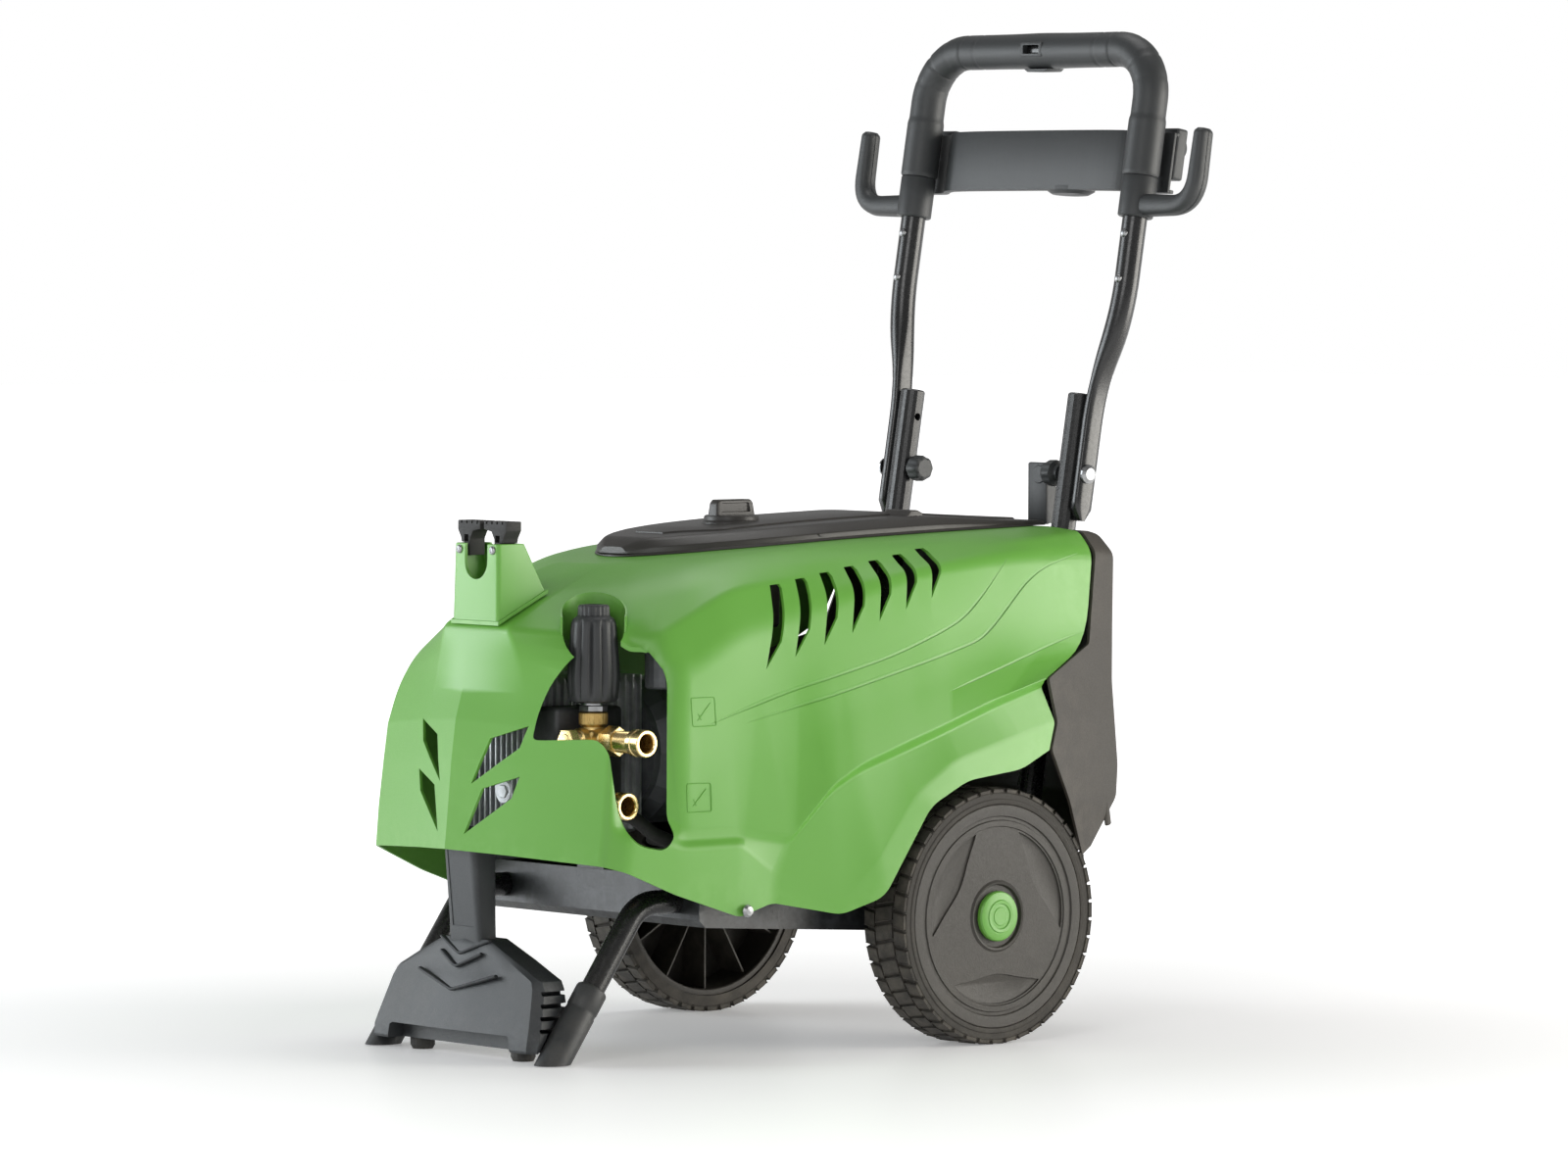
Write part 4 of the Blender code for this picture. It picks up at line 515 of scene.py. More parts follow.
TURNED_BRASS = finish("turned_brass", (228, 204, 146), (204, 174, 112), 0.26, 900.0, 0.15, 0.0001,
                      1.0, cloud_scale=60.0, cloud=0.4, rubbed=(250, 226, 170), rubbed_amount=0.5, dust=0.0)
STEEL = finish("bright_steel", (150, 151, 152), (128, 129, 131), 0.36, 1200.0, 0.12, 0.0001, 1.0,
               cloud_scale=48.0, rubbed=(240, 240, 242), dust=0.05)
CAST_ALUMINIUM = finish("cast_aluminium", (188, 190, 192), (150, 152, 155), 0.46, 700.0, 0.6, 0.0004,
                        0.9, cloud_scale=30.0, spread=0.1, rubbed=(225, 226, 228), rubbed_amount=0.6)
DARK_CASTING = finish("dark_casting", (44, 45, 46), (60, 61, 62), 0.52, 650.0, 0.6, 0.0004, 0.3,
                      cloud_scale=30.0, rubbed=(110, 110, 112), rubbed_amount=0.5)
MOTOR_GREY = finish("motor_grey_paint", (92, 95, 98), (78, 80, 84), 0.44, 480.0, 0.3, 0.0002, 0.3,
                    cloud_scale=14.0, rubbed=(150, 152, 156))


# ---------------------------------------------------------------- hood
# Columns run up the shell from the middle of the nose round to its rear edge, in millimetres:
# skirt, lower crease, step foot, step edge, mid face, shoulder, roof edge, island foot, island top.
HOOD_COLUMNS = [
    [(0, -494, 199), (0, -490, 240), (0, -486, 285), (0, -481, 323), (0, -471, 356),
     (0, -466, 392), (0, -458, 412), (0, -402, 442), (0, -335, 468)],
    [(70, -474, 196), (70, -470, 236), (69, -466, 281), (68, -461, 319), (67, -452, 352),
     (56, -454, 391), (48, -457, 411), (48, -402, 441), (35, -328, 469)],
    [(174, -443, 190), (175, -439, 228), (174, -434, 272), (173, -429, 310), (170, -419, 345),
     (158, -408, 374), (132, -394, 401), (100, -350, 447), (65, -312, 471)],
    [(187, -423, 184), (188, -419, 220), (187, -408, 240), (186, -405, 262), (184, -396, 330),
     (176, -382, 371), (154, -364, 405), (120, -322, 452), (85, -295, 473)],
    [(195, -369, 161), (197, -362, 205), (192, -357, 212), (191, -355, 222), (188, -350, 310),
     (181, -345, 371), (159, -330, 420), (133, -300, 457), (100, -275, 475.5)],
    [(205, -298, 137), (205, -296, 206), (200, -294, 213), (199, -292, 222), (192, -290, 320),
     (183, -290, 401), (160, -282, 445), (140, -262, 462), (112, -245, 478.5)],
    [(208, -260, 149), (208, -256, 176), (209, -240, 204), (213, -238, 212), (200, -238, 320),
     (183, -245, 414), (161, -240, 451), (143, -230, 466), (119, -217, 481)],
    [(225, -187, 135), (228, -183, 150), (219, -197, 252), (226, -198, 260), (206, -190, 350),
     (183, -190, 430), (162, -190, 456), (145, -180, 471), (123, -175, 484)],
    [(239, -144, 151), (237, -150, 187), (223, -165, 270), (230, -166, 279), (209, -150, 360),
     (184, -145, 441), (162, -145, 460), (146, -143, 474), (124, -143, 486)],
    [(243, -88, 236), (239, -106, 247), (226, -110, 288), (234, -112, 298), (211, -100, 370),
     (185, -98, 452), (163, -98, 466), (147, -98, 478), (124, -98, 488.5)],
    [(243, -40, 259), (241, -58, 277), (228, -64, 303), (236, -66, 313), (212, -55, 378),
     (185, -50, 462), (163, -50, 472), (147, -50, 482), (124, -50, 490.5)],
    [(243, 30, 267), (240, 22, 298), (229, 6, 327), (237, 4, 337), (208, 60, 388),
     (184, 60, 474), (164, 50, 483), (147, 50, 489), (124, 50, 494)],
    [(240, 69, 284), (238, 78, 311), (230, 67, 345), (237, 66, 354), (201, 153, 384),
     (183, 178, 474), (165, 176, 494), (147, 176, 495.5), (124, 176, 497.5)],
]
# how far each corner is eased, in millimetres: round the plan, and up the shell
LOW_EASE = (4, 6, 8, 8, 6, 7, 10, 12, 12, 12, 12)
HIGH_EASE = (4, 7, 14, 36, 60, 60, 60, 60, 60, 60, 60)
RISE_EASE = (4, 2.5, 2.5, 40, 14, 7, 20, 26)


def hood_rows():
    """The outer skin of one half: one row of points up the shell for each place round the plan."""
    levels = []
    for level in range(9):
        line = [Vector(column[level]) / 1000 for column in HOOD_COLUMNS]
        plan = LOW_EASE if level < 4 else HIGH_EASE
        levels.append(rounded(line, [ease / 1000 for ease in plan], 6))
    rows = []
    for points in zip(*levels):
        column = list(points) + [Vector((0, points[-1].y, points[-1].z))]
        rows.append(rounded(column, [ease / 1000 for ease in RISE_EASE], 5))
    return rows


def on_skin(tree, y, z, sign):
    """The point of the hood's side at a place along and up the machine."""
    hit = tree.ray_cast(Vector((sign * 0.4, y, z)), Vector((-sign, 0, 0)))
    return hit[0]


def groove_tool(tree, line, sign, wide, deep, fade=True):
    """A narrow V that follows the side of the hood."""
    guide = stretched(rounded([Vector((0, y, z)) for y, z in line], 0.03, 5), 0.006)
    path = [on_skin(tree, p.y, p.z, sign) for p in guide]
    path = [p for p in path if p is not None]

    def swell(share):
        return min(1.0, 0.15 + 5 * min(share, 1 - share)) if fade else 1.0
    return sweep(path, lambda s: deep * swell(s), lambda s: wide * swell(s), RIGHT, 8)


# the flat place of the pump opening: a corner, the run along it and the way out of it
BAY_CORNER = Vector((0.186, -0.441, 0))
BAY_ALONG = Vector((0.653, 0.757, 0))
BAY_OUT = Vector((0.757, -0.653, 0))


def bay_outline():
    """The opening's outline, in millimetres along and up, set in its place with eased corners."""
    outline = [(27, 394), (43, 382), (51, 364), (51, 232), (60, 216), (50, 203), (26, 208),
               (12, 223), (5, 241), (-3, 297), (-14, 309), (-66, 306), (-77, 306), (-72, 330),
               (-60, 358), (-42, 382), (-20, 398), (6, 402)]
    points = [BAY_CORNER + BAY_ALONG * (a / 1000) + RISE * (z / 1000) for a, z in outline]
    return rounded(points + points[:2], 0.012, 4)[5:-1]


def pump_bay_tool():
    """The opening's outline pushed out through the hood."""
    inward, depth = 0.075, 0.2
    bm = bmesh.new()
    face = bm.faces.new([bm.verts.new(point - BAY_OUT * inward) for point in bay_outline()])
    thicken(bm, face, BAY_OUT * depth)
    return bm


def rolled_edge(bm):
    """Bend the hood's skin inward round the right and upper sides of the pump opening."""
    ring = [((p - BAY_CORNER).dot(BAY_ALONG), p.z) for p in bay_outline()]
    roll_wide, roll_deep, finer_within, longest = 0.024, 0.0105, 0.034, 0.003

    def reach(spot):
        """How far a place is from the opening, and its place along and up the opening's frame."""
        a, z = (spot - BAY_CORNER).dot(BAY_ALONG), spot.z
        best, inside = 1.0, False
        for (a1, z1), (a2, z2) in zip(ring, ring[1:] + ring[:1]):
            da, dz = a2 - a1, z2 - z1
            t = max(0.0, min(1.0, ((a - a1) * da + (z - z1) * dz) / (da * da + dz * dz + 1e-12)))
            best = min(best, math.hypot(a - a1 - da * t, z - z1 - dz * t))
            if (z1 > z) != (z2 > z) and a < da * (z - z1) / dz + a1:
                inside = not inside
        return (0.0 if inside else best), a, z

    def on_front_right(spot):
        return spot.x > 0.09 and spot.y < -0.33

    def near(edge):
        middle = (edge.verts[0].co + edge.verts[1].co) / 2
        return on_front_right(middle) and reach(middle)[0] < finer_within

    for _ in range(2):
        edges = [edge for edge in bm.edges if near(edge) and edge.calc_length() > longest]
        bmesh.ops.subdivide_edges(bm, edges=edges, cuts=1, use_grid_fill=True)
    for vert in bm.verts:
        if on_front_right(vert.co):
            distance, a, z = reach(vert.co)
            if distance < roll_wide:
                share = (1 - distance / roll_wide) ** 2
                side = eased((a + 0.004) / 0.022) * eased((z - 0.214) / 0.020)
                vert.co -= BAY_OUT * (roll_deep * share * side)


def bay_liner(skin_tree):
    """The opening's edge turned inward away from the knob, so that the hood looks thick there."""
    rows = [[], [], [], [], []]
    points = [p for p in bay_outline() if p.z < 0.392 and (p - BAY_CORNER).dot(BAY_ALONG) > 0.0]
    centre = Vector((0.200, -0.425, 0.300))
    points.sort(key=lambda p: math.atan2(p.z - centre.z, (p - centre).dot(BAY_ALONG)))
    for point in points:
        hit = skin_tree.ray_cast(point + BAY_OUT * 0.12, -BAY_OUT)
        spot = hit[0] if hit[0] is not None else point
        away = (point - centre).normalized()
        for number, (inward, spread) in enumerate(((0.0006, 0.0005), (0.016, 0.0), (0.016, 0.0016),
                                                   (0.0035, 0.0020), (0.0006, 0.0005))):
            rows[number].append(spot - BAY_OUT * inward + away * spread)
    bm = drape(rows)
    bmesh.ops.holes_fill(bm, edges=bm.edges, sides=0)
    return bm


def knob_recess():
    """The scooped wall behind the pressure knob."""
    low, high, thick = 0.399, 0.4265, 0.0016
    back = math.atan2(-BAY_OUT.y, -BAY_OUT.x)
    rows = [[], [], [], []]
    for step in range(41):
        angle = back + math.radians(mix(-104, 104, step / 40))
        slope = 0.018 * math.cos(angle - back)
        for row, radius, height in zip(rows, (0, 0, thick, thick), (low, high + slope, high + slope, low)):
            radius += KNOB_WELL_R
            row.append(Vector((REG_X + radius * math.cos(angle), REG_Y + radius * math.sin(angle), height)))
    bm = drape(rows + [rows[0]])
    bmesh.ops.remove_doubles(bm, verts=bm.verts, dist=2e-6)
    bmesh.ops.holes_fill(bm, edges=bm.edges, sides=0)
    return bm


def raised_sign(tree, sign, y, z):
    """A fine raised square with plain slanted strokes, beside each hose connection."""
    tools = []
    half = 0.0135
    ring = rounded([Vector((0, y - half, z)), Vector((0, y - half, z + half)),
                    Vector((0, y + half, z + half)),
                    Vector((0, y + half, z - half)), Vector((0, y - half, z - half)),
                    Vector((0, y - half, z + 0.0005))],
                   0.002, 3)
    for line in (ring, [Vector((0, y - 0.0075, z - 0.0080)), Vector((0, y + 0.0080, z + 0.0080))],
                 [Vector((0, y - 0.0065, z - 0.0015)), Vector((0, y - 0.0035, z - 0.0075))]):
        guide = stretched(line, 0.0022)
        path = [on_skin(tree, p.y, p.z, sign) for p in guide]
        tools.append(sweep([p for p in path if p is not None], 0.0006, 0.00045, RIGHT, 6))
    return tools


def side_vent_tools(sign):
    """Seven slots up the side of the hood, each with a slanted foot."""
    tools = []
    for number in range(7):
        part = number / 6
        top_y, top_z = mix(-0.227, -0.032, part), mix(0.451, 0.481, part)
        foot_y, foot_z = mix(-0.252, -0.044, part), mix(0.371, 0.434, part)
        share = min(0.60, 0.026 / (top_z - foot_z))
        corners = [(foot_y - 0.001, foot_z), (mix(foot_y, top_y, share) + 0.0125, mix(foot_z, top_z, share)),
                   (top_y + 0.0135, top_z - 0.004), (top_y + 0.0125, top_z), (top_y + 0.001, top_z - 0.001)]
        low, high = sorted((sign * 0.13, sign * 0.24))
        tools.append(pushed(corners, low, high, "X"))
    return tools


def nose_vent_tools():
    """Two slanted vents on each side of the nose."""
    tools = []
    upper = [(0.024, 0.262), (0.0405, 0.306), (0.081, 0.319), (0.074, 0.298)]
    lower = [(0.020, 0.214), (0.0365, 0.258), (0.077, 0.271), (0.070, 0.250)]
    for sign in (-1, 1):
        for outline in (upper, lower):
            tools.append(pushed([(sign * x, z) for x, z in outline], -0.51, -0.44, "Y"))
    return tools


FAN_LINE = [(-0.048, 0.345), (0.006, 0.361), (0.071, 0.378), (0.110, 0.388), (0.147, 0.396)]
LOW_LINE = [(-0.280, 0.321), (-0.106, 0.365), (-0.029, 0.384), (0.009, 0.394), (0.035, 0.411),
            (0.096, 0.458), (0.160, 0.473)]
HIGH_LINE = [(-0.329, 0.319), (-0.231, 0.350), (-0.106, 0.381), (-0.042, 0.402), (-0.010, 0.414),
             (0.022, 0.436), (0.063, 0.470)]


def build_hood():
    """The green hood: a thin shell with its vents, pump opening, arches, grooves and signs."""
    skin = both_halves(drape(hood_rows()), 2)
    rolled_edge(skin)
    tree = BVHTree.FromBMesh(skin)
    solid = walled(skin)
    tools = nose_vent_tools() + [pump_bay_tool()]
    tools.append(rod(KNOB_WELL_R, KNOB_LOW, 0.470, 40, "Z", (REG_X, REG_Y, 0)))
    tools.append(rod(0.008, 0.440, 0.52, 16, "Z", (0, SWITCH_Y, 0)))
    for sign in (-1, 1):
        tools += side_vent_tools(sign)
        low, high = sorted((sign * 0.17, sign * 0.28))
        tools.append(rod(0.130, low, high, 96, "X", (0, 0, AXLE_Z)))
        tools.append(rod(0.0033, -0.03, 0.03, 16, "X",
                            (sign * 0.202, -0.292, 0.143)))
    grooves = []
    for sign in (-1, 1):
        for line, wide, deep in ((FAN_LINE, 0.0016, 0.0009), (LOW_LINE, 0.0022, 0.0014),
                                 (HIGH_LINE, 0.0022, 0.0014)):
            grooves.append(groove_tool(tree, line, sign, wide, deep))
    signs = []
    for y, z in ((-0.329, 0.333), (-0.338, 0.252)):
        signs += raised_sign(tree, 1, y, z)
    liner = bay_liner(tree)
    solid = carved(solid, tools)
    solid = carved(solid, grooves)
    solid = joined(solid, liner, knob_recess(), *signs)
    return set_down("hood_shell", solid, GREEN, "body", ("hood",), 32, True)


# ---------------------------------------------------------------- wheels
def at_wheel(bm, sign):
    """Put a wheel piece, drawn with its outer face at X = 0, on its end of the axle."""
    if sign < 0:
        turn_about(bm, math.pi, "Z")
    moved(bm, (sign * WHEEL_X, 0, AXLE_Z))


def tread_block(half_start, half_end, lean):
    """One rubber lug on the tread, slanted across it."""
    low_r, high_r = WHEEL_R - 0.0050, WHEEL_R
    wide = 2 * math.pi * WHEEL_R / LUGS_ROUND * 0.82
    bm = bmesh.new()
    bmesh.ops.create_cube(bm, size=1.0)
    for vert in bm.verts:
        along_x = mix(half_start, half_end, vert.co.x + 0.5)
        slip = lean * (vert.co.x + 0.5)
        tall = low_r if vert.co.z < 0 else high_r - (0.0012 if abs(along_x) < 0.002 else 0.0)
        narrow = 1.0 if vert.co.z < 0 else 0.90
        vert.co = Vector((-along_x, vert.co.y * wide * narrow + slip, tall))
    soften(bm, bm.edges[:], 0.0007, 1)
    return bm


def build_tyre(side, sign):
    """A tyre with three rows of lugs."""
    seat = WHEEL_R - TYRE_H
    w = WHEEL_W
    carcass = [(seat, -0.0008), (seat + 0.0015, -0.0002), (seat + 0.004, -0.0002), (seat + 0.0052, -0.0010),
               (WHEEL_R - 0.0040, -0.0010), (WHEEL_R - 0.0028, -0.0024), (WHEEL_R - 0.0026, -w + 0.0024),
               (WHEEL_R - 0.0040, -w + 0.0008), (seat, -w + 0.0002), (seat, -0.0008)]
    whole = turned(carcass, 96, "X")
    lugs = []
    for start, end, lean, shift in ((0.0006, 0.0130, 0.0020, 0.0), (0.0165, 0.0388, -0.0040, 0.5),
                                    (0.0423, w - 0.0008, 0.0020, 0.0)):
        lug = tread_block(start, end, lean)
        turn_about(lug, 2 * math.pi * shift / LUGS_ROUND, "X")
        bmesh.ops.spin(lug, geom=lug.verts[:] + lug.edges[:] + lug.faces[:], cent=(0, 0, 0), axis=(1, 0, 0),
                       angle=2 * math.pi * (1 - 1 / LUGS_ROUND), steps=LUGS_ROUND - 1, use_duplicate=True)
        lugs.append(lug)
    whole = joined(whole, *lugs)
    at_wheel(whole, sign)
    set_down("tread_tyre_" + side, whole, TYRE_RUBBER, "wheel_" + side, ("tyre_" + side,), 30)


def recess_tool(angle):
    """The lens-shaped hollow between two of the rim's three flat spokes."""
    outer, inner = 0.0855, 0.0440
    half = math.radians(41)
    points = []
    steps = 18
    for step in range(steps + 1):
        t = mix(-half, half, step / steps)
        points.append((outer * math.sin(t), outer * math.cos(t)))
    for step in range(1, steps):
        t = mix(half, -half, step / steps)
        bow = outer - (outer - inner * 1.28) * (math.cos(t / half * math.pi / 2) ** 0.8)
        points.append((bow * math.sin(t), bow * math.cos(t)))
    bm = pushed(points, -0.0042, 0.01, "X")
    soften(bm, [e for e in bm.edges if all(abs(v.co.x + 0.0042) < 1e-6 for v in e.verts)], 0.0012)
    turn_about(bm, angle, "X")
    return bm


def build_rim(side, sign):
    """A dished rim with three lens-shaped hollows outside and ribs inside."""
    w = WHEEL_W
    edge = WHEEL_R - TYRE_H - 0.0004
    bore = 0.0096
    face = [(bore, -0.0040), (0.0300, -0.0040), (0.0312, -0.0012), (0.0330, -0.0006), (0.0352, -0.0022),
            (0.0870, -0.0022), (0.0878, -0.0010), (0.0930, -0.0010), (0.0938, -0.0022), (0.0968, -0.0022),
            (0.0978, -0.0006), (0.1030, -0.0003), (edge - 0.0010, -0.0003), (edge, -0.0012),
            (edge, -w + 0.0022), (edge - 0.0012, -w + 0.0020), (edge - 0.0050, -w + 0.0020),
            (edge - 0.0060, -w + 0.0030), (edge - 0.0078, -0.0105), (0.0270, -0.0120), (0.0255, -w + 0.0052),
            (0.0240, -w + 0.0040), (bore, -w + 0.0040), (bore, -0.0040)]
    whole = turned(face, 96, "X")
    whole = carved(whole, [recess_tool(math.radians(60 + 120 * number)) for number in range(3)])
    rib_low, rib_high = (-w + 0.010, -0.0011, 0.0235), (-0.0105, 0.0011, edge - 0.0055)
    whole = joined(whole, *round_about(lambda: block(rib_low, rib_high, 0.0004, 1), 12, "X"))
    at_wheel(whole, sign)
    set_down("spoked_rim_" + side, whole, WHEEL_PLASTIC, "wheel_" + side,
             ("rim_" + side,), 30)


def build_hub_cap(side, sign):
    """A domed cap with a raised ring."""
    profile = [(0, 0.0034), (0.0085, 0.0034), (0.0092, 0.0028), (0.0120, 0.0027), (0.0126, 0.0038),
               (0.0155, 0.0040),
               (0.0163, 0.0030), (0.0205, 0.0027), (0.0232, 0.0018), (0.0243, 0.0004), (0.0245, -0.0012),
               (0.0245, -0.0034), (0, -0.0034)]
    whole = turned(profile, 72, "X")
    at_wheel(whole, sign)
    set_down("domed_hub_cap_" + side, whole, GREEN, "wheel_" + side, ("hub_cap_" + side,),
             30)


# ---------------------------------------------------------------- handle
UP = Vector((0, math.sin(LEAN), math.cos(LEAN)))
BACK = Vector((0, math.cos(LEAN), -math.sin(LEAN)))
TUBE_R = 0.0125
HANDLE_X, HANDLE_SET, HANDLE_TOP = 0.1657, 0.0055, 0.974
PRESSED_X, PRESSED_T, PRESSED_W = 0.14455, 0.0115, 0.023
RIVETS = (("upper", 0.2382), ("lower", 0.1930))


def on_lean(height, back=0.0):
    """The place along the machine of the handle's slope at a height over the fold bolts."""
    return PIVOT_Y + height * math.tan(LEAN) + back


def leaned(bm, spot):
    """Set a shape, drawn upright at the origin, on the leaning handle."""
    return moved(turn_about(bm, -LEAN, "X"), spot)


def handle_point(height, x):
    """A place on a handle leg's own line, by its height over the fold bolts."""
    return Vector((x, on_lean(height, HANDLE_SET), PIVOT_Z + height))


def leg_path():
    """One leg and half of the cross bar, from the pressed foot to the middle of the top."""
    low = -0.0475 * math.cos(LEAN)
    points = [Vector((PRESSED_X, on_lean(low, 0.003), PIVOT_Z + low)),
              Vector((PRESSED_X, on_lean(0.084, 0.003), PIVOT_Z + 0.084)),
              handle_point(0.160, HANDLE_X),
              handle_point(HANDLE_TOP - PIVOT_Z, HANDLE_X),
              Vector((0, on_lean(HANDLE_TOP - PIVOT_Z, HANDLE_SET), HANDLE_TOP))]
    side = rounded(points[:3] + [points[3] - UP * 0.15], [0.045, 0.045], 8)
    corner = points[3]
    turn = []
    radius = 0.052
    hub = corner - UP * radius - RIGHT * radius
    for step in range(17):
        angle = math.pi / 2 * step / 16
        turn.append(hub + RIGHT * (radius * math.cos(angle)) + UP * (radius * math.sin(angle)))
    return side + turn


def full_path(half):
    """Both halves of a path, left foot to right foot."""
    return [Vector((-p.x, p.y, p.z)) for p in half] + list(reversed(half))


def build_handle_tube():
    """The bent tube, round above and pressed flat where the fold bolts pass."""
    path = stretched(full_path(leg_path()), 0.012)

    def roundness(point):
        """0 where the tube is pressed flat for its bolt, 1 where it is round."""
        return eased((point.z - PIVOT_Z - 0.086) / 0.066)

    low = PIVOT_Z - 0.0475 * math.cos(LEAN)
    end_round = 0.011
    rows = []
    for number, point in enumerate(path):
        before, after = path[max(number - 1, 0)], path[min(number + 1, len(path) - 1)]
        along = (after - before).normalized()
        across = along.cross(BACK).normalized()
        near = max(0.0, 1 - (point.z - low) / end_round) if point.z < low + end_round else 0.0
        taper = math.sqrt(max(0.05, 1 - near ** 2 * 0.92))
        share = roundness(point)
        rows.append(ring_at(point, across, BACK, mix(PRESSED_T / 2, TUBE_R, share),
                            mix(PRESSED_W / 2, TUBE_R, share) * taper, 28, mix(3.2, 2.0, share)))
    bm = drape(rows, closed=True, ends=True)
    tools = []
    for sign in (-1, 1):
        tools.append(rod(0.0046, -0.03, 0.03, 20, "X",
                            (sign * PRESSED_X, PIVOT_Y, PIVOT_Z)))
        for _, height in RIVETS:
            spot = handle_point(height, sign * HANDLE_X) - BACK * TUBE_R
            tool = turned([(0, -0.004), (0.0062, -0.004), (0.0040, 0.0012), (0.0028, 0.0012), (0.0028, 0.010),
                           (0, 0.010)], 20, "Y")
            tools.append(leaned(tool, spot))
    bm = carved(bm, tools)
    set_down("bent_handle_tube", bm, GLOSS_PAINT, "handle", ("handle_tube",), 40)


def build_grip():
    """The moulded grip: creased at its ends, swollen in the middle, with a framed slot and a lip."""
    foot = 0.2969
    half = [handle_point(foot, HANDLE_X), handle_point(foot + 0.058, HANDLE_X)]
    half += [p for p in leg_path() if p.z > PIVOT_Z + foot + 0.075]
    middle_y = on_lean(HANDLE_TOP - PIVOT_Z, HANDLE_SET)
    half.append(Vector((0.0, middle_y, HANDLE_TOP)))
    path = stretched(full_path(half[:-1]), 0.0022)
    creases = [0.330, 0.344, 0.358, 0.372, 0.386]
    outer, inner = [], []
    total = 0.0
    places = [0.0]
    for before, after in zip(path, path[1:]):
        total += (after - before).length
        places.append(total)
    for number, point in enumerate(path):
        before, after = path[max(number - 1, 0)], path[min(number + 1, len(path) - 1)]
        along = (after - before).normalized()
        across = along.cross(BACK).normalized()
        run = min(places[number], total - places[number])
        radius = mix(0.0188, 0.01775, eased((run - 0.055) / 0.006))
        edge = min(1.0, run / 0.0016)
        radius -= 0.0012 * (1 - edge)
        for crease in creases:
            spot = (crease - 0.268) * 1.55
            radius -= 0.00075 * math.exp(-((run - spot) / 0.0011) ** 2)
        middle = math.exp(-((point.x) / 0.034) ** 2)
        ring = ring_at(point, across, BACK, radius + 0.0006 * middle, radius + 0.0012 * middle, 32)
        outer.append(ring)
        inner.append(ring_at(point, across, BACK, TUBE_R + 0.0006, TUBE_R + 0.0006, 32))
    bm = drape(outer + inner[::-1] + [outer[0]], closed=True)
    slot = block((-0.0125, middle_y - 0.045, HANDLE_TOP - 0.0035),
                 (0.0125, middle_y - 0.0105, HANDLE_TOP + 0.0065), 0.0015)
    bm = carved(bm, [slot])
    frame_ring = carved(
        block((-0.0160, middle_y - 0.0190, HANDLE_TOP - 0.0060),
              (0.0160, middle_y - 0.0120, HANDLE_TOP + 0.0088), 0.0016),
        [block((-0.0118, middle_y - 0.04, HANDLE_TOP - 0.0030), (0.0118, middle_y, HANDLE_TOP + 0.0060),
               0.001)])
    lip = pushed([(-0.018, -0.0020), (-0.013, -0.0052), (0.013, -0.0052), (0.018, -0.0020)],
                 middle_y - 0.012, middle_y + 0.012, "Y", 0.001)
    moved(lip, (0, 0, HANDLE_TOP - 0.0160))
    bm = joined(bm, frame_ring, lip)
    set_down("finger_grip", bm, SOFT_BLACK, "handle", ("handle_grip",), 35)


def build_hook(side, sign):
    """A sleeve on one leg with a cable hook that turns up."""
    foot = handle_point(0.2555, sign * HANDLE_X)
    length = 0.041 / math.cos(LEAN)
    outer, inner = 0.0178, TUBE_R + 0.0006
    profile = [(inner, 0), (outer - 0.0012, 0), (outer, 0.0012), (outer, length - 0.0012),
               (outer - 0.0008, length),
               (inner, length), (inner, 0)]
    sleeve = turned(profile, 40)
    leaned(sleeve, foot)
    start = handle_point(0.2675, sign * (HANDLE_X + 0.0152))
    elbow = handle_point(0.2675, sign * 0.2485)
    tip = elbow + UP * 0.072
    path = stretched(rounded([start, elbow, tip], 0.042, 12), 0.004)
    hook = sweep(path, lambda s: mix(0.0110, 0.0100, s), lambda s: mix(0.0112, 0.0078, s), BACK, 24, 2.6,
                 domed=0.007)
    bead_path = [p - BACK * 0.0001 for p in path]
    bead = sweep(bead_path, 0.0006, lambda s: mix(0.0114, 0.0080, s) + 0.0003, BACK, 12, domed=0.007)
    bm = joined(sleeve, hook, bead)
    set_down("cable_hook_" + side, bm, SOFT_BLACK, "handle", ("hook_sleeve_" + side,), 35)


